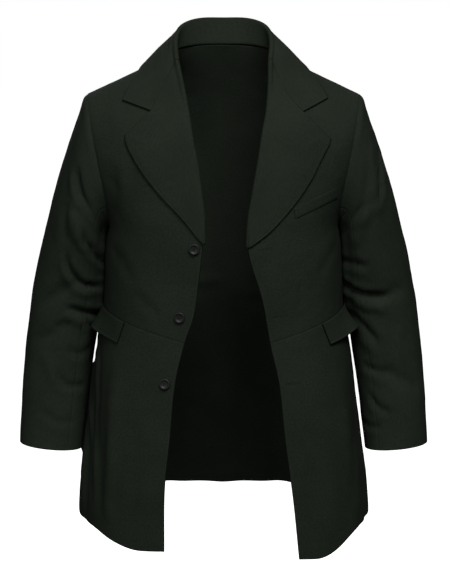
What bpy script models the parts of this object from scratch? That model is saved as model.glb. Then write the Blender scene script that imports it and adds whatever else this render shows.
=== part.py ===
"""Single breasted three button town coat in black cotton twill, worn open.

Metres, +Z up, +X to the wearer's left, the fronts face -Y. The origin is the middle of
the neck opening, level with the neck ends of the shoulder seams, where a neck and a pair
of shoulders hold the coat up. Every cloth piece is a wall of its own. Panels that are
sewn together share one seam line and one set of normals there, so that their walls meet
square, and each panel is then trimmed back by half the seam gap.
"""

import math
from collections import namedtuple

import bmesh
import bpy
from mathutils import Vector
from mathutils.bvhtree import BVHTree

# Cloth and seams
CLOTH = 0.0020
SEAM_GAP = 0.0003
GORGE_GAP = 0.0008

# Steps along the panels
ARMHOLE_STEPS = 10
SIDE_STEPS = 5
SKIRT_STEPS = 9
FRONT_STEPS = 10
NECK_STEPS = 4
SLEEVE_STEPS = 22

# Heights of the seams
WAIST_FRONT_Z = -0.4845
WAIST_SIDE_Z = -0.437
WAIST_SAG = 0.004
SAG_ROWS = 4
HEM_SIDE_Z = -0.812
# Between these shares of a skirt's hem it rises from its front level to its side level
HEM_RISE = (0.12, 0.62)
UNDERARM_FRONT_Z = -0.305
# Over 1, the levels crowd towards the top of the front edge
EDGE_CROWDING = 1.15

NECK_POINT = Vector((0.083, 0.008, 0.000))

# Front edge of each side: down the neckline and the roll line to the top button, then
# down the open front to the hem.
Edge = namedtuple("Edge", "z x y")
FRONT_EDGE = {
    "right": [
        Edge(0.000, 0.0830, 0.008),
        Edge(-0.022, 0.0815, -0.035),
        Edge(-0.062, 0.0730, -0.085),
        Edge(-0.092, 0.0621, -0.110),
        Edge(-0.145, 0.0533, -0.135),
        Edge(-0.178, 0.0464, -0.142),
        Edge(-0.229, 0.0395, -0.150),
        Edge(-0.272, 0.0344, -0.153),
        Edge(-0.316, 0.0343, -0.155),
        Edge(-0.393, 0.0429, -0.152),
        Edge(-0.441, 0.0503, -0.150),
        Edge(-0.484, 0.0651, -0.150),
        Edge(-0.554, 0.0816, -0.155),
        Edge(-0.650, 0.0910, -0.160),
        Edge(-0.736, 0.0998, -0.165),
        Edge(-0.844, 0.1011, -0.170),
    ],
    "left": [
        Edge(0.000, 0.0830, 0.008),
        Edge(-0.022, 0.0815, -0.035),
        Edge(-0.060, 0.0805, -0.085),
        Edge(-0.094, 0.0751, -0.110),
        Edge(-0.131, 0.0680, -0.130),
        Edge(-0.180, 0.0602, -0.142),
        Edge(-0.228, 0.0516, -0.150),
        Edge(-0.274, 0.0439, -0.153),
        Edge(-0.326, 0.0410, -0.155),
        Edge(-0.410, 0.0648, -0.152),
        Edge(-0.486, 0.0787, -0.150),
        Edge(-0.555, 0.0941, -0.155),
        Edge(-0.650, 0.1046, -0.160),
        Edge(-0.754, 0.1187, -0.165),
        Edge(-0.858, 0.1295, -0.170),
    ],
}
HEM_FRONT_Z = {"right": -0.844, "left": -0.858}

# Side seam, from the underarm to the hem
SIDE_SEAM = [
    Edge(-0.306, 0.2030, 0.004),
    Edge(-0.330, 0.2065, 0.003),
    Edge(-0.370, 0.2080, 0.001),
    Edge(-0.437, 0.2111, 0.000),
    Edge(-0.480, 0.2170, 0.000),
    Edge(-0.516, 0.2240, 0.000),
    Edge(-0.560, 0.2300, 0.001),
    Edge(-0.600, 0.2350, 0.002),
    Edge(-0.670, 0.2440, 0.003),
    Edge(-0.720, 0.2520, 0.004),
    Edge(-0.780, 0.2590, 0.005),
    Edge(-0.812, 0.2600, 0.005),
]

# How each level of a front turns from its front edge to the armhole or the side seam.
# The corner is where the two ends' directions cross: turn is its share of the way across.
Turn = namedtuple("Turn", "row turn corner_y fullness")
FRONT_TURNS = [
    Turn(0, 0.50, 0.007, 0.667),
    Turn(1, 0.50, -0.036, 0.66),
    Turn(3, 0.60, -0.108, 0.62),
    Turn(5, 0.68, -0.140, 0.60),
    Turn(8, 0.90, -0.153, 0.60),
    Turn(10, 1.00, -0.154, 0.63),
    Turn(15, 1.00, -0.149, 0.62),
    Turn(19, 1.00, -0.158, 0.66),
    Turn(24, 1.00, -0.172, 0.66),
]

# Share of the back's top level that lies below the neck's half, which evens out downwards
NECK_SHARE = 0.43

# The back's middle line and how each level turns from it to the armhole or side seam
BackTurn = namedtuple("BackTurn", "row middle_y middle_z turn fullness")
BACK_TURNS = [
    BackTurn(0, 0.062, 0.012, 0.50, 0.62),
    BackTurn(1, 0.076, -0.012, 0.50, 0.62),
    BackTurn(2, 0.090, -0.038, 0.55, 0.60),
    BackTurn(4, 0.114, -0.098, 0.66, 0.60),
    BackTurn(6, 0.128, -0.163, 0.78, 0.58),
    BackTurn(8, 0.133, -0.233, 0.92, 0.61),
    BackTurn(10, 0.129, -0.303, 1.00, 0.64),
    BackTurn(13, 0.112, -0.392, 1.00, 0.60),
    BackTurn(15, 0.107, -0.445, 1.00, 0.58),
    BackTurn(18, 0.122, -0.570, 1.00, 0.60),
    BackTurn(21, 0.148, -0.693, 1.00, 0.60),
    BackTurn(24, 0.172, -0.812, 1.00, 0.60),
]

# Sleeve rings, from the armhole to the cuff. Outer and inner are the ring's points
# furthest from and nearest to the body; front and back are its depths from middle_y.
Ring = namedtuple("Ring", "outer_x outer_z inner_x inner_z middle_y front back")
SLEEVE_RINGS = [
    Ring(0.2360, -0.072, 0.2030, -0.306, 0.005, 0.087, 0.091),
    Ring(0.2430, -0.080, 0.2068, -0.306, 0.005, 0.087, 0.091),
    Ring(0.2485, -0.097, 0.2092, -0.309, 0.005, 0.086, 0.090),
    Ring(0.2580, -0.125, 0.2104, -0.318, 0.005, 0.085, 0.089),
    Ring(0.2735, -0.168, 0.2108, -0.335, 0.006, 0.082, 0.086),
    Ring(0.2910, -0.223, 0.2112, -0.358, 0.008, 0.077, 0.081),
    Ring(0.3095, -0.290, 0.2118, -0.388, 0.012, 0.071, 0.075),
    Ring(0.3265, -0.357, 0.2142, -0.425, 0.016, 0.066, 0.070),
    Ring(0.3400, -0.425, 0.2220, -0.465, 0.018, 0.062, 0.066),
    Ring(0.3490, -0.490, 0.2300, -0.515, 0.013, 0.058, 0.061),
    Ring(0.3550, -0.550, 0.2375, -0.567, 0.004, 0.054, 0.055),
    Ring(0.3585, -0.610, 0.2445, -0.623, -0.009, 0.050, 0.049),
    Ring(0.3605, -0.655, 0.2495, -0.666, -0.020, 0.047, 0.044),
    Ring(0.3615, -0.684, 0.2525, -0.695, -0.028, 0.045, 0.042),
]
ARMHOLE_FORWARD = Vector((-0.0080, 0.0, -0.0110))
ARMHOLE_BACKWARD = Vector((-0.0080, 0.0, -0.0010))
# How far the armhole's lower half is scooped in towards the body
ARMHOLE_SCOOP = 0.016
# Share of the sleeve's length over which its rings straighten from the armhole's shape
LEAN_REACH = 0.25
SLEEVE_FULLNESS = 0.58
# Columns of a sleeve's rings between which its under piece lies
UNDER_SLEEVE = (7, 13)

# Roll line of each lapel, from the collar's end to the top button
ROLL_LINE = {
    "right": [
        Edge(-0.012, 0.0798, -0.035),
        Edge(-0.055, 0.0695, -0.085),
    ] + FRONT_EDGE["right"][3:9],
    "left": [
        Edge(-0.012, 0.0798, -0.035),
        Edge(-0.050, 0.0787, -0.080),
    ] + FRONT_EDGE["left"][3:9],
}

# Seen from the front, x and z of the seam between lapel and collar, of the two corners
# beside the notch, and of the lapel's outer edge against heights on its roll line
GORGE = {
    "right": [(0.0798, -0.012), (0.0950, -0.044), (0.1070, -0.069), (0.1220, -0.097)],
    "left": [(0.0798, -0.012), (0.0935, -0.044), (0.1090, -0.072), (0.1335, -0.0985)],
}
LAPEL_PEAK = {"right": (0.1656, -0.137), "left": (0.1803, -0.1436)}
COLLAR_TIP = {"right": (0.1720, -0.081), "left": (0.1785, -0.0775)}
Outline = namedtuple("Outline", "along roll_z x z")
LAPEL_OUTLINE = {
    "right": [
        Outline(0.00, -0.012, 0.1656, -0.1370),
        Outline(0.12, -0.055, 0.1645, -0.1480),
        Outline(0.30, -0.110, 0.1570, -0.1650),
        Outline(0.50, -0.170, 0.1360, -0.1985),
        Outline(0.70, -0.228, 0.1060, -0.2350),
        Outline(0.88, -0.282, 0.0690, -0.2730),
        Outline(1.00, -0.316, 0.0395, -0.3090),
    ],
    "left": [
        Outline(0.00, -0.012, 0.1803, -0.1436),
        Outline(0.12, -0.055, 0.1775, -0.1540),
        Outline(0.30, -0.112, 0.1665, -0.1735),
        Outline(0.50, -0.175, 0.1455, -0.2130),
        Outline(0.70, -0.235, 0.1190, -0.2500),
        Outline(0.88, -0.290, 0.0790, -0.2940),
        Outline(1.00, -0.322, 0.0470, -0.3180),
    ],
}
# Share of the lapel's length over which its rows bend to the line of the gorge
GORGE_REACH = 0.35
GORGE_STEPS = 5
POINT_STEPS = 4
LAPEL_STEPS = 15
# Over 1, the lapel's rows crowd towards the gorge
LAPEL_CROWDING = 1.35
# From a front's outer face to the middle of the lapel's cloth
LAPEL_STAND = 0.0034

# The lapel turns round the roll line, and the collar round the top of its stand
ROLL_RADIUS = 0.0033
ROLL_ANGLES = (-90, -30, 30, 90)
FOLD_ANGLES = (0, 60, 120, 180)
# How far out over the front, and down the roll line, the roll's directions are read
ROLL_REACH = 0.020
ROLL_RUN = 0.010
# The cloth behind the roll line: its width, the share of it that is left at the gorge,
# and how far behind the front's outer face its middle stays
TUCK_WIDTH = 0.007
TUCK_AT_TOP = 0.2
TUCK_DEPTH = 0.0048
# A place this far sideways from the front's cloth lies past its edge
EDGE_REACH = 0.0012

# Collar, from its middle at the back to its front end: the seat on the neckline, the
# fold at the top of its stand, and the outer edge of the fall
Section = namedtuple("Section", "seat fold edge")
COLLAR_SECTIONS = [
    Section((0.000, 0.0620, 0.0130), (0.000, 0.0700, 0.0560), (0.000, 0.0960, -0.0160)),
    Section((0.040, 0.0560, 0.0125), (0.043, 0.0640, 0.0555), (0.066, 0.0860, -0.0150)),
    Section((0.071, 0.0330, 0.0080), (0.073, 0.0400, 0.0450), (0.117, 0.0560, -0.0180)),
    Section((0.083, 0.0080, 0.0015), (0.083, 0.0050, 0.0230), (0.142, 0.0030, -0.0225)),
]
COLLAR_FRONT_SEAT = Vector((0.0820, -0.0195, -0.0128))
COLLAR_STEPS = 12
COLLAR_STAND = 0.0034
# The collar's column along which its sections are spaced
COLLAR_CREST = 3
FALL_BULGE = 0.002

# Pocket flaps in the waist seam, from their front end to their end at the side seam
Flap = namedtuple("Flap", "along drop slide flare")
FLAPS = {
    "right": [
        Flap(0.00, 0.0400, 0.012, 0.004),
        Flap(0.45, 0.0400, 0.010, 0.012),
        Flap(0.80, 0.0370, 0.004, 0.021),
        Flap(1.00, 0.0340, 0.000, 0.007),
    ],
    "left": [
        Flap(0.00, 0.0410, 0.015, 0.006),
        Flap(0.45, 0.0400, 0.012, 0.016),
        Flap(0.80, 0.0360, 0.005, 0.025),
        Flap(1.00, 0.0340, 0.000, 0.004),
    ],
}
FLAP_START = {"right": 0.47, "left": 0.44}
FLAP_END = 0.985
FLAP_STEPS = 8
FLAP_ROWS = 3
FLAP_STAND = 0.0018
FLAP_CURL = 1.3

# Breast pocket welt on the wearer's left: x and z of its four corners
WELT_TOP = ((0.1180, -0.2555), (0.1913, -0.2255))
WELT_BOTTOM = ((0.1205, -0.2730), (0.1949, -0.2424))
WELT_CLOTH = 0.0012
WELT_STAND = 0.0012
WELT_STEPS = 6

# Buttons on the wearer's right front: x and z of their centres
BUTTON_PLACES = {
    "button_top": (-0.0489, -0.3234),
    "button_middle": (-0.0742, -0.4401),
    "button_bottom": (-0.0995, -0.5539),
}
BUTTON_DIAMETER = 0.0190
BUTTON_THICKNESS = 0.0038
BUTTON_SIDES = 24
BUTTON_GAP = 0.0008
# Share of the radius and of the thickness, from the centre of the face round to the base
BUTTON_PROFILE = [
    (0.00, 0.58),
    (0.62, 0.62),
    (0.76, 0.97),
    (0.88, 1.00),
    (0.98, 0.72),
    (1.00, 0.45),
    (0.80, 0.00),
    (0.00, 0.00),
]

# The largest folds, as soft ridges (height over zero) and troughs (under zero) between
# two points. Zone says which cloth they run in.
Fold = namedtuple("Fold", "zone start end height width")
FOLDS = [
    Fold("sleeve_right", (-0.262, -0.080, -0.190), (-0.222, -0.070, -0.305), -0.006, 0.013),
    Fold("sleeve_right", (-0.285, -0.075, -0.230), (-0.240, -0.070, -0.330), 0.005, 0.014),
    Fold("sleeve_right", (-0.245, -0.055, -0.390), (-0.330, -0.040, -0.440), -0.006, 0.013),
    Fold("sleeve_right", (-0.250, -0.055, -0.470), (-0.335, -0.040, -0.500), -0.004, 0.012),
    Fold("sleeve_left", (0.250, -0.080, -0.180), (0.224, -0.070, -0.300), -0.006, 0.013),
    Fold("sleeve_left", (0.275, -0.075, -0.150), (0.272, -0.070, -0.260), 0.005, 0.013),
    Fold("sleeve_left", (0.235, -0.055, -0.425), (0.320, -0.045, -0.410), -0.006, 0.013),
    Fold("sleeve_left", (0.262, -0.055, -0.540), (0.335, -0.040, -0.580), -0.004, 0.012),
    Fold("body", (-0.186, -0.120, -0.520), (-0.186, -0.130, -0.860), 0.007, 0.016),
    Fold("body", (-0.225, -0.080, -0.540), (-0.235, -0.080, -0.860), -0.006, 0.018),
    Fold("body", (-0.219, 0.033, -0.530), (-0.243, 0.036, -0.700), 0.019, 0.022),
    Fold("body", (0.205, -0.110, -0.540), (0.215, -0.110, -0.860), 0.005, 0.018),
    Fold("body", (0.236, -0.070, -0.560), (0.246, -0.070, -0.860), -0.004, 0.016),
    Fold("body", (-0.090, 0.130, -0.520), (-0.110, 0.170, -0.860), 0.007, 0.022),
    Fold("body", (0.090, 0.130, -0.520), (0.110, 0.170, -0.860), 0.007, 0.022),
    Fold("body", (0.000, 0.120, -0.560), (0.000, 0.175, -0.860), -0.006, 0.026),
]

# Share of a fold's length over which it rises, and the rings over which a sleeve's start
FOLD_RISE = 0.25
SLEEVE_FOLD_RINGS = (1, 4)

CLOTH_COLOUR = (0.0105, 0.0145, 0.0095)
CLOTH_ROUGHNESS = 0.9
BUTTON_COLOUR = (0.008, 0.009, 0.008)
BUTTON_ROUGHNESS = 0.35
SHARP_ANGLE = 40

# Two points nearer than this are one place on a seam
SEAM_GRAIN = 0.00005

# The fronts lie ahead of this depth
FRONTS_Y = 0.03

SIDES = {"left": 1.0, "right": -1.0}


def start_empty():
    """Remove every object that the file opened with."""
    for thing in list(bpy.data.objects):
        bpy.data.objects.remove(thing, do_unlink=True)


def smooth(knots, values, at):
    """The point of a smooth curve through values (tuples) at their rising knots."""
    last = len(knots) - 1
    at = min(max(at, knots[0]), knots[last])
    k = 0
    while k < last - 1 and at > knots[k + 1]:
        k += 1

    def slope(j):
        low = max(j - 1, 0)
        high = min(j + 1, last)
        run = knots[high] - knots[low]
        return [(b - a) / run for a, b in zip(values[low], values[high])]

    span = knots[k + 1] - knots[k]
    t = (at - knots[k]) / span
    start_weight = 2 * t**3 - 3 * t**2 + 1
    leave_weight = (t**3 - 2 * t**2 + t) * span
    end_weight = 3 * t**2 - 2 * t**3
    arrive_weight = (t**3 - t**2) * span
    parts = zip(values[k], slope(k), values[k + 1], slope(k + 1))
    return [
        start_weight * a + leave_weight * m + end_weight * b + arrive_weight * n
        for a, m, b, n in parts
    ]


def arc(start, corner, end, fullness, t):
    """A curve from start to end that leaves and arrives along the lines to the corner."""
    leave = start.lerp(corner, fullness)
    arrive = end.lerp(corner, fullness)
    s = 1 - t
    return start * s**3 + leave * (3 * s * s * t) + arrive * (3 * s * t * t) + end * t**3


def on_edge(table, z):
    """The point at height z of a line given as a falling table of z, x and y."""
    x, y = smooth([-row.z for row in table], [(row.x, row.y) for row in table], -z)
    return Vector((x, y, z))


def ring_points(ring, forward=None, backward=None):
    """Outer, front, inner and back points of a sleeve ring."""
    outer = Vector((ring.outer_x, ring.middle_y, ring.outer_z))
    inner = Vector((ring.inner_x, ring.middle_y, ring.inner_z))
    middle = (outer + inner) / 2
    front = middle + Vector((0, -ring.front, 0)) + (forward or Vector())
    back = middle + Vector((0, ring.back, 0)) + (backward or Vector())
    return outer, front, inner, back


def round_ring(points, steps, scoop):
    """Points round a ring: outer, front, inner, back, each quarter an arc of its own."""
    outer, front, inner, back = points
    quarters = [
        (outer, front, Vector((outer.x, front.y, outer.z))),
        (front, inner, Vector((inner.x - scoop, front.y, inner.z))),
        (inner, back, Vector((inner.x - scoop, back.y, inner.z))),
        (back, outer, Vector((outer.x, back.y, outer.z))),
    ]
    result = []
    for start, end, corner in quarters:
        for k in range(steps):
            result.append(arc(start, corner, end, SLEEVE_FULLNESS, k / steps))
    return result


def armhole():
    """The armhole seam of the wearer's left side, from the shoulder down the front."""
    points = ring_points(SLEEVE_RINGS[0], ARMHOLE_FORWARD, ARMHOLE_BACKWARD)
    return round_ring(points, ARMHOLE_STEPS // 2, ARMHOLE_SCOOP)


def row_outer(row, front):
    """Outer end of a level of the body: on the armhole, then on the side seam."""
    if row <= ARMHOLE_STEPS:
        loop = armhole()
        return loop[row] if front else loop[-row % len(loop)]
    waist_row = ARMHOLE_STEPS + SIDE_STEPS
    if row <= waist_row:
        share = (row - ARMHOLE_STEPS) / SIDE_STEPS
        z = SIDE_SEAM[0].z + (WAIST_SIDE_Z - SIDE_SEAM[0].z) * share
    else:
        z = WAIST_SIDE_Z + (HEM_SIDE_Z - WAIST_SIDE_Z) * (row - waist_row) / SKIRT_STEPS
    return on_edge(SIDE_SEAM, z)


def row_inner_z(side, row):
    """Height of the front edge at a level of the body."""
    if row <= ARMHOLE_STEPS:
        return UNDERARM_FRONT_Z * (row / ARMHOLE_STEPS) ** EDGE_CROWDING
    waist_row = ARMHOLE_STEPS + SIDE_STEPS
    if row <= waist_row:
        share = (row - ARMHOLE_STEPS) / SIDE_STEPS
        return UNDERARM_FRONT_Z + (WAIST_FRONT_Z - UNDERARM_FRONT_Z) * share
    share = (row - waist_row) / SKIRT_STEPS
    return WAIST_FRONT_Z + (HEM_FRONT_Z[side] - WAIST_FRONT_Z) * share


def mirrored(point, side):
    """The point on the named side of the coat."""
    return Vector((point.x * SIDES[side], point.y, point.z))


def front_level(side, row):
    """Points of one level of a front, from the front edge to its outer end."""
    inner = on_edge(FRONT_EDGE[side], row_inner_z(side, row))
    outer = row_outer(row, True)
    knots = [turn.row for turn in FRONT_TURNS]
    values = [(turn.turn, turn.corner_y, turn.fullness) for turn in FRONT_TURNS]
    share, corner_y, fullness = smooth(knots, values, row)
    corner = inner.lerp(outer, share)
    corner.y = corner_y
    waist_row = ARMHOLE_STEPS + SIDE_STEPS
    sag = WAIST_SAG * max(0.0, 1 - abs(row - waist_row) / SAG_ROWS)
    near_hem = max(0.0, (row - waist_row) / SKIRT_STEPS)
    points = []
    for k in range(FRONT_STEPS + 1):
        t = k / FRONT_STEPS
        point = arc(inner, corner, outer, fullness, t) if row else inner.lerp(outer, t)
        level = (point.z - inner.z) / (outer.z - inner.z) if row else t
        rise = min(max((t - HEM_RISE[0]) / (HEM_RISE[1] - HEM_RISE[0]), 0.0), 1.0)
        curve = rise * rise * (3 - 2 * rise)
        point.z += (outer.z - inner.z) * (curve - level) * near_hem
        point.z -= sag * math.sin(math.pi * t)
        points.append(mirrored(point, side))
    return points


def back_half_level(row):
    """Points of one level of the back, from its middle to the wearer's left."""
    knots = [turn.row for turn in BACK_TURNS]
    values = [tuple(turn)[1:] for turn in BACK_TURNS]
    middle_y, middle_z, share, fullness = smooth(knots, values, row)
    middle = Vector((0, middle_y, middle_z))
    outer = row_outer(row, False)
    if row == 0:
        corner = Vector((NECK_POINT.x, middle_y, middle_z))
        neck = [arc(middle, corner, NECK_POINT, fullness, k / NECK_STEPS) for k in range(NECK_STEPS)]
        seam = [NECK_POINT.lerp(outer, k / FRONT_STEPS) for k in range(FRONT_STEPS + 1)]
        return neck + seam
    corner = middle.lerp(outer, share)
    corner.y = middle_y
    even = NECK_STEPS / (NECK_STEPS + FRONT_STEPS)
    neck_share = even + (NECK_SHARE - even) * max(0.0, 1 - row / ARMHOLE_STEPS)
    places = [neck_share * k / NECK_STEPS for k in range(NECK_STEPS)]
    places += [neck_share + (1 - neck_share) * k / FRONT_STEPS for k in range(FRONT_STEPS + 1)]
    return [arc(middle, corner, outer, fullness, t) for t in places]


def back_level(row):
    """Points of one level of the back, from the wearer's left to the right."""
    half = back_half_level(row)
    return half[::-1] + [mirrored(point, "right") for point in half[1:]]


def sleeve_grid(side):
    """Rings of a sleeve, from the armhole to the cuff, closed by repeating the first point."""
    knots = [k / (len(SLEEVE_RINGS) - 1) for k in range(len(SLEEVE_RINGS))]
    grid = []
    for row in range(SLEEVE_STEPS + 1):
        at = row / SLEEVE_STEPS
        ring = Ring(*smooth(knots, SLEEVE_RINGS, at))
        lean = max(0.0, 1 - at / LEAN_REACH)
        points = ring_points(ring, ARMHOLE_FORWARD * lean, ARMHOLE_BACKWARD * lean)
        loop = round_ring(points, ARMHOLE_STEPS // 2, ARMHOLE_SCOOP * lean)
        grid.append([mirrored(point, side) for point in loop + loop[:1]])
    return grid


def columns(grid, first, last):
    """The part of a grid between two of its columns."""
    return [row[first:last + 1] for row in grid]


def key(point):
    """A name for a place, the same for panels that meet there."""
    return tuple(round(value / SEAM_GRAIN) for value in point)


def panel_normals(grid, sign):
    """Outward normals at the places of one panel."""
    total = {}
    for upper, lower in zip(grid, grid[1:]):
        for k in range(len(upper) - 1):
            corners = (upper[k], upper[k + 1], lower[k + 1], lower[k])
            normal = (corners[2] - corners[0]).cross(corners[3] - corners[1]) * sign
            for corner in corners:
                total[key(corner)] = total.get(key(corner), Vector()) + normal
    return {place: normal.normalized() for place, normal in total.items()}


def normals_of(panels):
    """Outward normals at every place of the panels, shared evenly where panels meet."""
    total = {}
    for grid, sign in panels:
        for place, normal in panel_normals(grid, sign).items():
            total[place] = total.get(place, Vector()) + normal
    return {place: normal.normalized() for place, normal in total.items()}


def fold_height(zone, point):
    """How far the folds of a zone lift the cloth at a point."""
    lift = 0.0
    for fold in FOLDS:
        if fold.zone != zone:
            continue
        start = Vector(fold.start)
        run = Vector(fold.end) - start
        share = min(max((point - start).dot(run) / run.length_squared, 0.0), 1.0)
        away = (point - start - run * share).length
        fade = min(1.0, share / FOLD_RISE)
        lift += fold.height * fade * math.exp(-((away / fold.width) ** 2))
    return lift


def trimmed(grid, trim):
    """The grid with its four edges drawn in by the trim."""
    last_row = len(grid) - 1
    last_column = len(grid[0]) - 1
    result = []
    for r, row in enumerate(grid):
        line = []
        for c, point in enumerate(row):
            moved = point.copy()
            if r in (0, last_row):
                inward = grid[1 if r == 0 else r - 1][c] - point
                moved += inward.normalized() * trim
            if c in (0, last_column):
                inward = row[1 if c == 0 else c - 1] - point
                moved += inward.normalized() * trim
            line.append(moved)
        result.append(line)
    return result


def add_material(thing, name, colour, roughness):
    """Give an object a material of its own."""
    material = bpy.data.materials.new(name)
    material.use_nodes = True
    shader = material.node_tree.nodes["Principled BSDF"]
    shader.inputs["Base Color"].default_value = (*colour, 1)
    shader.inputs["Roughness"].default_value = roughness
    shader.inputs["Metallic"].default_value = 0.0
    thing.data.materials.append(material)


def finish_object(name, bm, colour, roughness):
    """Turn a bmesh into a named, smooth shaded object."""
    bmesh.ops.recalc_face_normals(bm, faces=bm.faces)
    mesh = bpy.data.meshes.new(name)
    bm.to_mesh(mesh)
    bm.free()
    mesh.shade_smooth()
    mesh.set_sharp_from_angle(angle=math.radians(SHARP_ANGLE))
    thing = bpy.data.objects.new(name, mesh)
    bpy.context.scene.collection.objects.link(thing)
    add_material(thing, name, colour, roughness)
    return thing


def wall(name, grid, normals, thickness=CLOTH, trim=SEAM_GAP / 2):
    """A cloth wall about a grid of points, half its thickness to either side."""
    bm = bmesh.new()
    last_column = len(grid[0])
    bmesh.ops.create_grid(bm, x_segments=last_column - 1, y_segments=len(grid) - 1, size=1)
    place = bm.verts.layers.int.new("place")
    bm.verts.ensure_lookup_table()
    offsets = [normals[key(point)] * (thickness / 2) for row in grid for point in row]
    points = [point for row in trimmed(grid, trim) for point in row]
    for k, vertex in enumerate(bm.verts):
        vertex[place] = k
        vertex.co = points[k] + offsets[k]
    extruded = bmesh.ops.extrude_face_region(bm, geom=bm.faces[:])
    for item in extruded["geom"]:
        if isinstance(item, bmesh.types.BMVert):
            item.co = points[item[place]] - offsets[item[place]]
    bmesh.ops.triangulate(bm, faces=bm.faces[:], quad_method="SHORT_EDGE")
    return finish_object(name, bm, CLOTH_COLOUR, CLOTH_ROUGHNESS)


def folded(zone, grid, normals):
    """The grid with the zone's folds raised or sunk along the normals.

    A sleeve's folds fade out over its first rings, because the armhole seam lies still.
    """
    result = []
    first, last = SLEEVE_FOLD_RINGS
    for r, row in enumerate(grid):
        fade = 1.0 if zone == "body" else min(1.0, max(0.0, (r - first) / (last - first)))
        result.append([point + normals[key(point)] * fold_height(zone, point) * fade for point in row])
    return result


def body_panels():
    """The panels that are sewn edge to edge, as name: (zone, grid, sign of the normal)."""
    waist = ARMHOLE_STEPS + SIDE_STEPS
    hem = waist + SKIRT_STEPS
    panels = {}
    for side, sign in SIDES.items():
        levels = [front_level(side, row) for row in range(hem + 1)]
        panels[f"forepart_{side}"] = ("body", levels[:waist + 1], sign)
        panels[f"skirt_{side}"] = ("body", levels[waist:], sign)
        sleeve = sleeve_grid(side)
        first, last = UNDER_SLEEVE
        under = columns(sleeve, first, last)
        top = [row[last:] + row[1:first + 1] for row in sleeve]
        panels[f"sleeve_under_{side}"] = (f"sleeve_{side}", under, -sign)
        panels[f"sleeve_top_{side}"] = (f"sleeve_{side}", top, -sign)
    panels["back"] = ("body", [back_level(row) for row in range(hem + 1)], 1.0)
    return panels


def fold_panels(panels):
    """Raise the folds of every panel, and return the panels with their shared normals."""
    normals = normals_of([(grid, -sign) for _, grid, sign in panels.values()])
    shaped = {
        name: (zone, folded(zone, grid, normals), sign)
        for name, (zone, grid, sign) in panels.items()
    }
    return shaped, normals_of([(grid, -sign) for _, grid, sign in shaped.values()])


def outer_surface(panels, normals, names):
    """A search tree of the outer faces of some panels."""
    points = []
    faces = []
    for name in names:
        _, grid, sign = panels[name]
        base = len(points)
        width = len(grid[0])
        for row in grid:
            points.extend(point + normals[key(point)] * (CLOTH / 2) for point in row)
        for r in range(len(grid) - 1):
            for c in range(width - 1):
                a = base + r * width + c
                quad = [a, a + width, a + width + 1, a + 1]
                faces.append(quad if sign > 0 else quad[::-1])
    return BVHTree.FromPolygons(points, faces)


def on_front(tree, x, z):
    """Place and normal of a front's outer face at x and z, or None past its edge."""
    hit, normal, _, _ = tree.ray_cast(Vector((x, -1.0, z)), Vector((0, 1, 0)))
    if hit is None or hit.y > FRONTS_Y:
        return None
    return hit, normal


def row_on_front(tree, start, places, stand):
    """Points over a front at x and z places; those past its edge run on from start."""
    found = []
    for x, z in places:
        hit = on_front(tree, x, z)
        found.append(hit and hit[0] + hit[1] * stand)
    first = next(k for k, point in enumerate(found) if point)
    for k in range(first):
        found[k] = start.lerp(found[first], (k + 1) / (first + 1))
    return found


def gorge_places(side, corner):
    """x and z of steps along the gorge seam, and on from the notch to a corner."""
    knots = [k / (len(GORGE[side]) - 1) for k in range(len(GORGE[side]))]
    notch = GORGE[side][-1]
    places = [smooth(knots, GORGE[side], (k + 1) / GORGE_STEPS) for k in range(GORGE_STEPS)]
    for k in range(POINT_STEPS):
        share = (k + 1) / POINT_STEPS
        places.append([a + (b - a) * share for a, b in zip(notch, corner)])
    return [(x * SIDES[side], z) for x, z in places]


def roll_frame(side, z, tree):
    """A point of the roll line with its directions out over the front and off it."""
    roll = mirrored(on_edge(ROLL_LINE[side], z), side)
    spot, face = on_front(tree, roll.x + ROLL_REACH * SIDES[side], z)
    outward = (spot - face * (CLOTH / 2) - roll).normalized()
    run = mirrored(on_edge(ROLL_LINE[side], z - ROLL_RUN), side) - roll
    normal = run.cross(outward).normalized()
    if normal.y > 0:
        normal.negate()
    return roll, outward, normal


def rolled(centre, outward, normal, angles):
    """Points round a roll, from behind it (-90 degrees) to in front of it (90)."""
    points = []
    for angle in angles:
        turned = math.radians(angle)
        reach = normal * math.sin(turned) - outward * math.cos(turned)
        points.append(centre + reach * ROLL_RADIUS)
    return points


def lapel_grid(side, tree):
    """A lapel: tucked behind the roll line, round it, and out over the forepart."""
    outline = LAPEL_OUTLINE[side]
    knots = [row.along for row in outline]
    steps = GORGE_STEPS + POINT_STEPS
    shares = [(k + 1) / steps for k in range(steps)]
    top = gorge_places(side, LAPEL_PEAK[side])
    head = mirrored(on_edge(ROLL_LINE[side], outline[0].roll_z), side)
    bow_x = [x - head.x - (top[-1][0] - head.x) * share for (x, _), share in zip(top, shares)]
    bow_z = [z - head.z - (top[-1][1] - head.z) * share for (_, z), share in zip(top, shares)]
    grid = []
    for row in range(LAPEL_STEPS + 1):
        along = (row / LAPEL_STEPS) ** LAPEL_CROWDING
        roll_z, edge_x, edge_z = smooth(knots, [line[1:] for line in outline], along)
        roll, outward, normal = roll_frame(side, roll_z, tree)
        bend = max(0.0, 1 - along / GORGE_REACH) ** 2
        places = []
        for k, share in enumerate(shares):
            x = roll.x + (edge_x * SIDES[side] - roll.x) * share + bow_x[k] * bend
            z = roll.z + (edge_z - roll.z) * share + bow_z[k] * bend
            places.append((x, z))
        line = row_on_front(tree, roll + normal * ROLL_RADIUS, places, LAPEL_STAND)
        depth = TUCK_WIDTH * min(1.0, TUCK_AT_TOP + (along / GORGE_REACH) ** 2)
        turn = rolled(roll, outward, normal, ROLL_ANGLES)
        tuck = turn[0] + outward * depth
        grid.append([laid_under(tree, tuck), laid_under(tree, turn[0])] + turn[1:] + line)
    return grid


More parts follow.
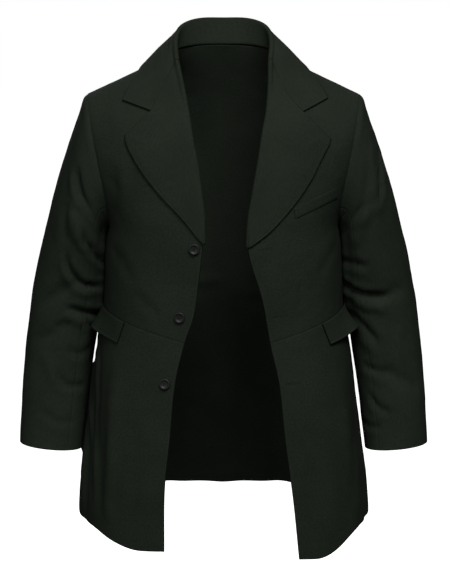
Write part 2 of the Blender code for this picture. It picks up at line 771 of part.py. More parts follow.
def collar_section(section, side):
    """Points across the collar at one section: stand, fold and fall."""
    seat, fold, edge = (mirrored(Vector(point), side) for point in section)
    rise = (fold - seat).normalized()
    outward = edge - fold
    outward = (outward - rise * outward.dot(rise)).normalized()
    line = [seat, seat.lerp(fold - outward * ROLL_RADIUS, 0.5)]
    line += rolled(fold, outward, rise, FOLD_ANGLES)
    over = fold + outward * ROLL_RADIUS
    bulge = (edge - over).cross((edge - over).cross(rise)).normalized() * -FALL_BULGE
    steps = GORGE_STEPS + POINT_STEPS
    for k in range(1, steps + 1):
        share = k / steps
        line.append(over.lerp(edge, share) + bulge * math.sin(math.pi * share))
    return line


def collar_end(side, tree):
    """Points across the collar's front end, along the gorge and on to its tip."""
    places = gorge_places(side, COLLAR_TIP[side])
    roll, outward, normal = roll_frame(side, ROLL_LINE[side][0].z, tree)
    fall = row_on_front(tree, roll + normal * ROLL_RADIUS, places, LAPEL_STAND)
    seat = mirrored(COLLAR_FRONT_SEAT, side)
    tuck = seat.lerp(roll - normal * ROLL_RADIUS, 0.5)
    return [seat, tuck] + rolled(roll, outward, normal, ROLL_ANGLES) + fall


def laid_on(tree, point, stand):
    """The point, moved out where it would lie closer to the cloth below than stand."""
    spot, normal, _, _ = tree.find_nearest(point)
    if (point - spot).dot(normal) < stand:
        return spot + normal * stand
    return point


def laid_under(tree, point):
    """The point, moved back where it would come too close to a front's inner face."""
    spot, normal, _, _ = tree.find_nearest(point)
    away = point - spot
    if away.cross(normal).length > EDGE_REACH or away.dot(normal) < -TUCK_DEPTH:
        return point
    return spot - normal * TUCK_DEPTH


def collar_grid(fronts, tree):
    """The collar, from its end on the wearer's left round the neck to the right."""
    lines = [collar_end("left", fronts["left"])]
    lines += [collar_section(section, "left") for section in COLLAR_SECTIONS[::-1]]
    lines += [collar_section(section, "right") for section in COLLAR_SECTIONS[1:]]
    lines.append(collar_end("right", fronts["right"]))
    knots = [0.0]
    for before, after in zip(lines, lines[1:]):
        knots.append(knots[-1] + (after[COLLAR_CREST] - before[COLLAR_CREST]).length)
    grid = []
    for row in range(COLLAR_STEPS * 2 + 1):
        at = knots[-1] * row / (COLLAR_STEPS * 2)
        line = [Vector(smooth(knots, spots, at)) for spots in zip(*lines)]
        if 0 < row < COLLAR_STEPS * 2:
            fall = len(line) - GORGE_STEPS - POINT_STEPS
            line[fall:] = [laid_on(tree, point, COLLAR_STAND) for point in line[fall:]]
        grid.append(line)
    return grid


def flap_grid(side, tree):
    """A pocket flap: its top on the waist seam, its lower edge off the skirt."""
    table = FLAPS[side]
    knots = [row.along for row in table]
    seam = front_level(side, ARMHOLE_STEPS + SIDE_STEPS)
    seam_knots = [k / FRONT_STEPS for k in range(FRONT_STEPS + 1)]
    tops = []
    for k in range(FLAP_STEPS + 1):
        place = FLAP_START[side] + (FLAP_END - FLAP_START[side]) * k / FLAP_STEPS
        tops.append(Vector(smooth(seam_knots, seam, place)))
    grid = [[] for _ in range(FLAP_ROWS + 1)]
    for k, top in enumerate(tops):
        drop, slide, flare = smooth(knots, [row[1:] for row in table], k / FLAP_STEPS)
        spot, normal, _, _ = tree.find_nearest(top)
        run = (tops[min(k + 1, FLAP_STEPS)] - tops[max(k - 1, 0)]).normalized()
        level = Vector((normal.x, normal.y, 0)).normalized()
        for r in range(FLAP_ROWS + 1):
            share = r / FLAP_ROWS
            point = spot + level * (FLAP_STAND + flare * share**FLAP_CURL)
            point += run * slide * share - Vector((0, 0, drop * share))
            grid[r].append(laid_on(tree, point, FLAP_STAND))
    return grid


def welt_grid(tree):
    """The breast pocket's welt, on the wearer's left forepart."""
    grid = []
    for r in range(3):
        line = []
        for k in range(WELT_STEPS + 1):
            across = k / WELT_STEPS
            top = [a + (b - a) * across for a, b in zip(*WELT_TOP)]
            bottom = [a + (b - a) * across for a, b in zip(*WELT_BOTTOM)]
            x, z = (a + (b - a) * r / 2 for a, b in zip(top, bottom))
            spot, normal = on_front(tree, x, z)
            line.append(spot + normal * WELT_STAND)
        grid.append(line)
    return grid


def button(name, place, tree):
    """A dished button with a raised rim, sewn flat against the front."""
    spot, normal = on_front(tree, *place)
    bm = bmesh.new()
    radius = BUTTON_DIAMETER / 2
    profile = [
        bm.verts.new((out * radius, 0, BUTTON_GAP + up * BUTTON_THICKNESS))
        for out, up in BUTTON_PROFILE
    ]
    edges = [bm.edges.new(pair) for pair in zip(profile, profile[1:])]
    bmesh.ops.spin(
        bm,
        geom=profile + edges,
        cent=(0, 0, 0),
        axis=(0, 0, 1),
        angle=math.tau,
        steps=BUTTON_SIDES,
        use_merge=True,
    )
    bmesh.ops.remove_doubles(bm, verts=bm.verts, dist=0.00001)
    thing = finish_object(name, bm, BUTTON_COLOUR, BUTTON_ROUGHNESS)
    thing.location = spot
    thing.rotation_euler = normal.to_track_quat("Z", "Y").to_euler()


def lone_wall(name, grid, sign, thickness=CLOTH, trim=SEAM_GAP / 2):
    """A cloth wall that shares no seam with the body's panels."""
    wall(name, grid, panel_normals(grid, sign), thickness, trim)


def main():
    start_empty()
    panels, normals = fold_panels(body_panels())
    for name, (_, grid, _) in panels.items():
        wall(name, grid, normals)
    fronts = {side: outer_surface(panels, normals, [f"forepart_{side}"]) for side in SIDES}
    shoulders = outer_surface(panels, normals, ["forepart_left", "forepart_right", "back"])
    turned = {f"lapel_{side}": (lapel_grid(side, fronts[side]), -sign) for side, sign in SIDES.items()}
    turned["collar"] = (collar_grid(fronts, shoulders), 1.0)
    turned_normals = normals_of(turned.values())
    for name, (grid, _) in turned.items():
        wall(name, grid, turned_normals, trim=GORGE_GAP / 2)
    hips = {}
    for side, sign in SIDES.items():
        hips[side] = outer_surface(panels, normals, [f"forepart_{side}", f"skirt_{side}"])
        lone_wall(f"flap_{side}", flap_grid(side, hips[side]), sign)
    lone_wall("breast_welt", welt_grid(fronts["left"]), 1.0, thickness=WELT_CLOTH)
    for name, place in BUTTON_PLACES.items():
        button(name, place, hips["right"])


main()
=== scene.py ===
"""Looks of a black cotton twill town coat, built on its packed form.

Metres, +Z up, +X to the wearer's left, the fronts face -Y. The tables of the cut are the
same as the form's own, and every panel is drawn again on them with a fine grid, so that
the cloth lies where its solid lies. Creases, seams, edge stitching and buttons are added.
"""

import math
from collections import namedtuple

import bmesh
import bpy
import numpy as np
from mathutils import Matrix, Vector, noise
from mathutils.bvhtree import BVHTree


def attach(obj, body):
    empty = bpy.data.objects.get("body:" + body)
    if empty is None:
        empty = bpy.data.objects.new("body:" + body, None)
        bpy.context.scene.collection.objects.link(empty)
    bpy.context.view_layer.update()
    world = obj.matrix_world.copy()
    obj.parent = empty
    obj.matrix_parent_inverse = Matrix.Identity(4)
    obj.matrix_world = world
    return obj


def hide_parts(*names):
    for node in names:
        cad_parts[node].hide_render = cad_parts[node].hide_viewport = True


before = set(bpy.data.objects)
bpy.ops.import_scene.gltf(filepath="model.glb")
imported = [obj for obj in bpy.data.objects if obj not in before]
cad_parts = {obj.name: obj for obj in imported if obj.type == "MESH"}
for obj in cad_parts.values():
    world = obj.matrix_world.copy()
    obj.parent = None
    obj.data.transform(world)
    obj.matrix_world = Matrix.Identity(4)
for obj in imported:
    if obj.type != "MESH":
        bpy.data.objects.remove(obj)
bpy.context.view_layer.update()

# Cloth of the form, and of the shell that is drawn on it
CLOTH = 0.0020
SHELL = 0.0019
# Seams meet closer here than on the form, whose gaps keep its solids apart
SEAM_GAP = 0.00001
# The lapels and the collar are drawn in by half of this, so that the gorge seam shows
GORGE_GAP = 0.0008

# The form's levels: shoulder 0, underarm 10, waist 15, hem 24
ARMHOLE_STEPS = 10
SIDE_STEPS = 5
SKIRT_STEPS = 9
WAIST_ROW = ARMHOLE_STEPS + SIDE_STEPS
HEM_ROW = WAIST_ROW + SKIRT_STEPS
# Levels of a quarter of the armhole
QUARTER_ROWS = 5
FRONT_STEPS = 10
NECK_STEPS = 4

# How finely the shell is drawn: steps in a level, in a column of the form, and in the
# last millimetres beside a seam or an edge
FINE_ROWS = 8
FINE_COLUMNS = 6
NEAR_EDGE = (0.0003, 0.0008, 0.0016, 0.0028)
ROW_LENGTH = 0.035
COLUMN_LENGTH = 0.027

# Heights of the seams
WAIST_FRONT_Z = -0.4845
WAIST_SIDE_Z = -0.437
WAIST_SAG = 0.004
SAG_ROWS = 4
HEM_SIDE_Z = -0.812
# Shares of a front's width between which its hem rises to the side seam
HEM_RISE = (0.12, 0.62)
UNDERARM_FRONT_Z = -0.305
# How much the levels crowd together towards the neck along the front edge
EDGE_CROWDING = 1.15
NECK_POINT = Vector((0.083, 0.008, 0.000))

# Front edge of each side: down the neckline and the roll line to the top button, then
# down the open front to the hem
Edge = namedtuple("Edge", "z x y")
FRONT_EDGE = {
    "right": [
        Edge(0.000, 0.0830, 0.008),
        Edge(-0.022, 0.0815, -0.035),
        Edge(-0.062, 0.0730, -0.085),
        Edge(-0.092, 0.0621, -0.110),
        Edge(-0.145, 0.0533, -0.135),
        Edge(-0.178, 0.0464, -0.142),
        Edge(-0.229, 0.0395, -0.150),
        Edge(-0.272, 0.0344, -0.153),
        Edge(-0.316, 0.0343, -0.155),
        Edge(-0.393, 0.0429, -0.152),
        Edge(-0.441, 0.0503, -0.150),
        Edge(-0.484, 0.0651, -0.150),
        Edge(-0.554, 0.0816, -0.155),
        Edge(-0.650, 0.0910, -0.160),
        Edge(-0.736, 0.0998, -0.165),
        Edge(-0.844, 0.1011, -0.170),
    ],
    "left": [
        Edge(0.000, 0.0830, 0.008),
        Edge(-0.022, 0.0815, -0.035),
        Edge(-0.060, 0.0805, -0.085),
        Edge(-0.094, 0.0751, -0.110),
        Edge(-0.131, 0.0680, -0.130),
        Edge(-0.180, 0.0602, -0.142),
        Edge(-0.228, 0.0516, -0.150),
        Edge(-0.274, 0.0439, -0.153),
        Edge(-0.326, 0.0410, -0.155),
        Edge(-0.410, 0.0648, -0.152),
        Edge(-0.486, 0.0787, -0.150),
        Edge(-0.555, 0.0941, -0.155),
        Edge(-0.650, 0.1046, -0.160),
        Edge(-0.754, 0.1187, -0.165),
        Edge(-0.858, 0.1295, -0.170),
    ],
}
HEM_FRONT_Z = {"right": -0.844, "left": -0.858}

# Side seam, from the underarm to the hem
SIDE_SEAM = [
    Edge(-0.306, 0.2030, 0.004),
    Edge(-0.330, 0.2065, 0.003),
    Edge(-0.370, 0.2080, 0.001),
    Edge(-0.437, 0.2111, 0.000),
    Edge(-0.480, 0.2170, 0.000),
    Edge(-0.516, 0.2240, 0.000),
    Edge(-0.560, 0.2300, 0.001),
    Edge(-0.600, 0.2350, 0.002),
    Edge(-0.670, 0.2440, 0.003),
    Edge(-0.720, 0.2520, 0.004),
    Edge(-0.780, 0.2590, 0.005),
    Edge(-0.812, 0.2600, 0.005),
]

# How each level of a front turns from its front edge to the armhole or the side seam
Turn = namedtuple("Turn", "row turn corner_y fullness")
FRONT_TURNS = [
    Turn(0, 0.50, 0.007, 0.667),
    Turn(1, 0.50, -0.036, 0.66),
    Turn(3, 0.60, -0.108, 0.62),
    Turn(5, 0.68, -0.140, 0.60),
    Turn(8, 0.90, -0.153, 0.60),
    Turn(10, 1.00, -0.154, 0.63),
    Turn(15, 1.00, -0.149, 0.62),
    Turn(19, 1.00, -0.158, 0.66),
    Turn(24, 1.00, -0.172, 0.66),
]
# Share of a half level of the back that lies below the neckline, at the top
NECK_SHARE = 0.43

# The back's middle line and how each level turns from it to the armhole or side seam
BackTurn = namedtuple("BackTurn", "row middle_y middle_z turn fullness")
BACK_TURNS = [
    BackTurn(0, 0.062, 0.012, 0.50, 0.62),
    BackTurn(1, 0.076, -0.012, 0.50, 0.62),
    BackTurn(2, 0.090, -0.038, 0.55, 0.60),
    BackTurn(4, 0.114, -0.098, 0.66, 0.60),
    BackTurn(6, 0.128, -0.163, 0.78, 0.58),
    BackTurn(8, 0.133, -0.233, 0.92, 0.61),
    BackTurn(10, 0.129, -0.303, 1.00, 0.64),
    BackTurn(13, 0.112, -0.392, 1.00, 0.60),
    BackTurn(15, 0.107, -0.445, 1.00, 0.58),
    BackTurn(18, 0.122, -0.570, 1.00, 0.60),
    BackTurn(21, 0.148, -0.693, 1.00, 0.60),
    BackTurn(24, 0.172, -0.812, 1.00, 0.60),
]

# Sleeve rings, from the armhole to the cuff
Ring = namedtuple("Ring", "outer_x outer_z inner_x inner_z middle_y front back")
SLEEVE_RINGS = [
    Ring(0.2360, -0.072, 0.2030, -0.306, 0.005, 0.087, 0.091),
    Ring(0.2430, -0.080, 0.2068, -0.306, 0.005, 0.087, 0.091),
    Ring(0.2485, -0.097, 0.2092, -0.309, 0.005, 0.086, 0.090),
    Ring(0.2580, -0.125, 0.2104, -0.318, 0.005, 0.085, 0.089),
    Ring(0.2735, -0.168, 0.2108, -0.335, 0.006, 0.082, 0.086),
    Ring(0.2910, -0.223, 0.2112, -0.358, 0.008, 0.077, 0.081),
    Ring(0.3095, -0.290, 0.2118, -0.388, 0.012, 0.071, 0.075),
    Ring(0.3265, -0.357, 0.2142, -0.425, 0.016, 0.066, 0.070),
    Ring(0.3400, -0.425, 0.2220, -0.465, 0.018, 0.062, 0.066),
    Ring(0.3490, -0.490, 0.2300, -0.515, 0.013, 0.058, 0.061),
    Ring(0.3550, -0.550, 0.2375, -0.567, 0.004, 0.054, 0.055),
    Ring(0.3585, -0.610, 0.2445, -0.623, -0.009, 0.050, 0.049),
    Ring(0.3605, -0.655, 0.2495, -0.666, -0.020, 0.047, 0.044),
    Ring(0.3615, -0.684, 0.2525, -0.695, -0.028, 0.045, 0.042),
]
# Shifts of the armhole's front and back points, and the scoop of its inner side. They fade
# out over LEAN_REACH, a share of the sleeve.
ARMHOLE_FORWARD = Vector((-0.0080, 0.0, -0.0110))
ARMHOLE_BACKWARD = Vector((-0.0080, 0.0, -0.0010))
ARMHOLE_SCOOP = 0.016
LEAN_REACH = 0.25
SLEEVE_FULLNESS = 0.58
# Quarters round the armhole between which the under sleeve lies
UNDER_SLEEVE = (1.4, 2.6)
SLEEVE_ROWS = 140
SLEEVE_LENGTH = 0.62
SLEEVE_FINE = 36
QUARTER_LENGTH = 0.11

# Roll line of each lapel, from the collar's end to the top button
ROLL_LINE = {
    "right": [
        Edge(-0.012, 0.0798, -0.035),
        Edge(-0.055, 0.0695, -0.085),
    ] + FRONT_EDGE["right"][3:9],
    "left": [
        Edge(-0.012, 0.0798, -0.035),
        Edge(-0.050, 0.0787, -0.080),
    ] + FRONT_EDGE["left"][3:9],
}

# Seen from the front, x and z of the seam between lapel and collar, of the two corners
# beside the notch, and of the lapel's outer edge against heights on its roll line
GORGE = {
    "right": [(0.0798, -0.012), (0.0950, -0.044), (0.1070, -0.069), (0.1220, -0.097)],
    "left": [(0.0798, -0.012), (0.0935, -0.044), (0.1090, -0.072), (0.1335, -0.0985)],
}
LAPEL_PEAK = {"right": (0.1656, -0.137), "left": (0.1803, -0.1436)}
COLLAR_TIP = {"right": (0.1720, -0.081), "left": (0.1785, -0.0775)}
Outline = namedtuple("Outline", "along roll_z x z")
LAPEL_OUTLINE = {
    "right": [
        Outline(0.00, -0.012, 0.1656, -0.1370),
        Outline(0.12, -0.055, 0.1645, -0.1480),
        Outline(0.30, -0.110, 0.1570, -0.1650),
        Outline(0.50, -0.170, 0.1360, -0.1985),
        Outline(0.70, -0.228, 0.1060, -0.2350),
        Outline(0.88, -0.282, 0.0690, -0.2730),
        Outline(1.00, -0.316, 0.0395, -0.3090),
    ],
    "left": [
        Outline(0.00, -0.012, 0.1803, -0.1436),
        Outline(0.12, -0.055, 0.1775, -0.1540),
        Outline(0.30, -0.112, 0.1665, -0.1735),
        Outline(0.50, -0.175, 0.1455, -0.2130),
        Outline(0.70, -0.235, 0.1190, -0.2500),
        Outline(0.88, -0.290, 0.0790, -0.2940),
        Outline(1.00, -0.322, 0.0470, -0.3180),
    ],
}
GORGE_REACH = 0.35
GORGE_STEPS = 22
POINT_STEPS = 18
LAPEL_STEPS = 100
LAPEL_CROWDING = 1.35
LAPEL_STAND = 0.0034
# Share of the columns of a lapel or the collar after which it is free of the gorge seam
NOTCH_SHARE = 0.69
# Share of a lapel's width over which its stand grows from the roll to its full height
STAND_REACH = 0.11

# The lapel turns round the roll line, and the collar round the top of its stand
ROLL_RADIUS = 0.0033
ROLL_ANGLES = tuple(range(-90, 91, 15))
FOLD_ANGLES = tuple(range(0, 181, 15))
ROLL_REACH = 0.020
ROLL_RUN = 0.010
TUCK_WIDTH = 0.007
TUCK_AT_TOP = 0.2
TUCK_DEPTH = 0.0048
TUCK_STEPS = 3
EDGE_REACH = 0.0012

# Collar sections, from its middle at the back to its front end
Section = namedtuple("Section", "seat fold edge")
COLLAR_SECTIONS = [
    Section((0.000, 0.0620, 0.0130), (0.000, 0.0700, 0.0560), (0.000, 0.0960, -0.0160)),
    Section((0.040, 0.0560, 0.0125), (0.043, 0.0640, 0.0555), (0.066, 0.0860, -0.0150)),
    Section((0.071, 0.0330, 0.0080), (0.073, 0.0400, 0.0450), (0.117, 0.0560, -0.0180)),
    Section((0.083, 0.0080, 0.0015), (0.083, 0.0050, 0.0230), (0.142, 0.0030, -0.0225)),
]
COLLAR_FRONT_SEAT = Vector((0.0820, -0.0195, -0.0128))
COLLAR_STEPS = 60
COLLAR_STAND = 0.0034
STAND_STEPS = 12
COLLAR_CREST = STAND_STEPS + 4
FALL_BULGE = 0.002

# Pocket flaps in the waist seam, from their front end to their end at the side seam
Flap = namedtuple("Flap", "along drop slide flare")
FLAPS = {
    "right": [
        Flap(0.00, 0.0400, 0.012, 0.004),
        Flap(0.45, 0.0400, 0.010, 0.012),
        Flap(0.80, 0.0370, 0.004, 0.021),
        Flap(1.00, 0.0340, 0.000, 0.007),
    ],
    "left": [
        Flap(0.00, 0.0410, 0.015, 0.006),
        Flap(0.45, 0.0400, 0.012, 0.016),
        Flap(0.80, 0.0360, 0.005, 0.025),
        Flap(1.00, 0.0340, 0.000, 0.004),
    ],
}
FLAP_START = {"right": 0.47, "left": 0.44}
FLAP_END = 0.985
FLAP_STEPS = 64
FLAP_ROWS = 22
# About the width and drop of a flap and of the welt, to place the steps beside their edges
FLAP_SIZE = (0.14, 0.045)
WELT_SIZE = (0.08, 0.018)
FLAP_STAND = 0.0018
FLAP_CURL = 1.3

# Breast pocket welt on the wearer's left: x and z of its four corners
WELT_TOP = ((0.1180, -0.2555), (0.1913, -0.2255))
WELT_BOTTOM = ((0.1205, -0.2730), (0.1949, -0.2424))
WELT_CLOTH = 0.0012
WELT_STAND = 0.0012
WELT_STEPS = 36
WELT_ROWS = 10

# Buttons on the wearer's right front: x and z of their centres
BUTTON_PLACES = {
    "button_top": (-0.0489, -0.3234),
    "button_middle": (-0.0742, -0.4401),
    "button_bottom": (-0.0995, -0.5539),
}
BUTTON_DIAMETER = 0.0190
BUTTON_THICKNESS = 0.0038
BUTTON_GAP = 0.0008

FRONTS_Y = 0.03
SIDES = {"left": 1.0, "right": -1.0}

# The form's largest folds: soft ridges and troughs between two points
Fold = namedtuple("Fold", "zone start end height width")
FOLDS = [
    Fold("sleeve_right", (-0.262, -0.080, -0.190), (-0.222, -0.070, -0.305), -0.006, 0.013),
    Fold("sleeve_right", (-0.285, -0.075, -0.230), (-0.240, -0.070, -0.330), 0.005, 0.014),
    Fold("sleeve_right", (-0.245, -0.055, -0.390), (-0.330, -0.040, -0.440), -0.006, 0.013),
    Fold("sleeve_right", (-0.250, -0.055, -0.470), (-0.335, -0.040, -0.500), -0.004, 0.012),
    Fold("sleeve_left", (0.250, -0.080, -0.180), (0.224, -0.070, -0.300), -0.006, 0.013),
    Fold("sleeve_left", (0.275, -0.075, -0.150), (0.272, -0.070, -0.260), 0.005, 0.013),
    Fold("sleeve_left", (0.235, -0.055, -0.425), (0.320, -0.045, -0.410), -0.006, 0.013),
    Fold("sleeve_left", (0.262, -0.055, -0.540), (0.335, -0.040, -0.580), -0.004, 0.012),
    Fold("body", (-0.186, -0.120, -0.520), (-0.186, -0.130, -0.860), 0.007, 0.016),
    Fold("body", (-0.225, -0.080, -0.540), (-0.235, -0.080, -0.860), -0.006, 0.018),
    Fold("body", (-0.219, 0.033, -0.530), (-0.243, 0.036, -0.700), 0.019, 0.022),
    Fold("body", (0.205, -0.110, -0.540), (0.215, -0.110, -0.860), 0.005, 0.018),
    Fold("body", (0.236, -0.070, -0.560), (0.246, -0.070, -0.860), -0.004, 0.016),
    Fold("body", (-0.090, 0.130, -0.520), (-0.110, 0.170, -0.860), 0.007, 0.022),
    Fold("body", (0.090, 0.130, -0.520), (0.110, 0.170, -0.860), 0.007, 0.022),
    Fold("body", (0.000, 0.120, -0.560), (0.000, 0.175, -0.860), -0.006, 0.026),
]
# Share of a fold's length over which it rises
FOLD_RISE = 0.25
# Shares of a sleeve's length between which its folds set in, below the armhole
SLEEVE_FOLD_START = (1 / 22, 4 / 22)

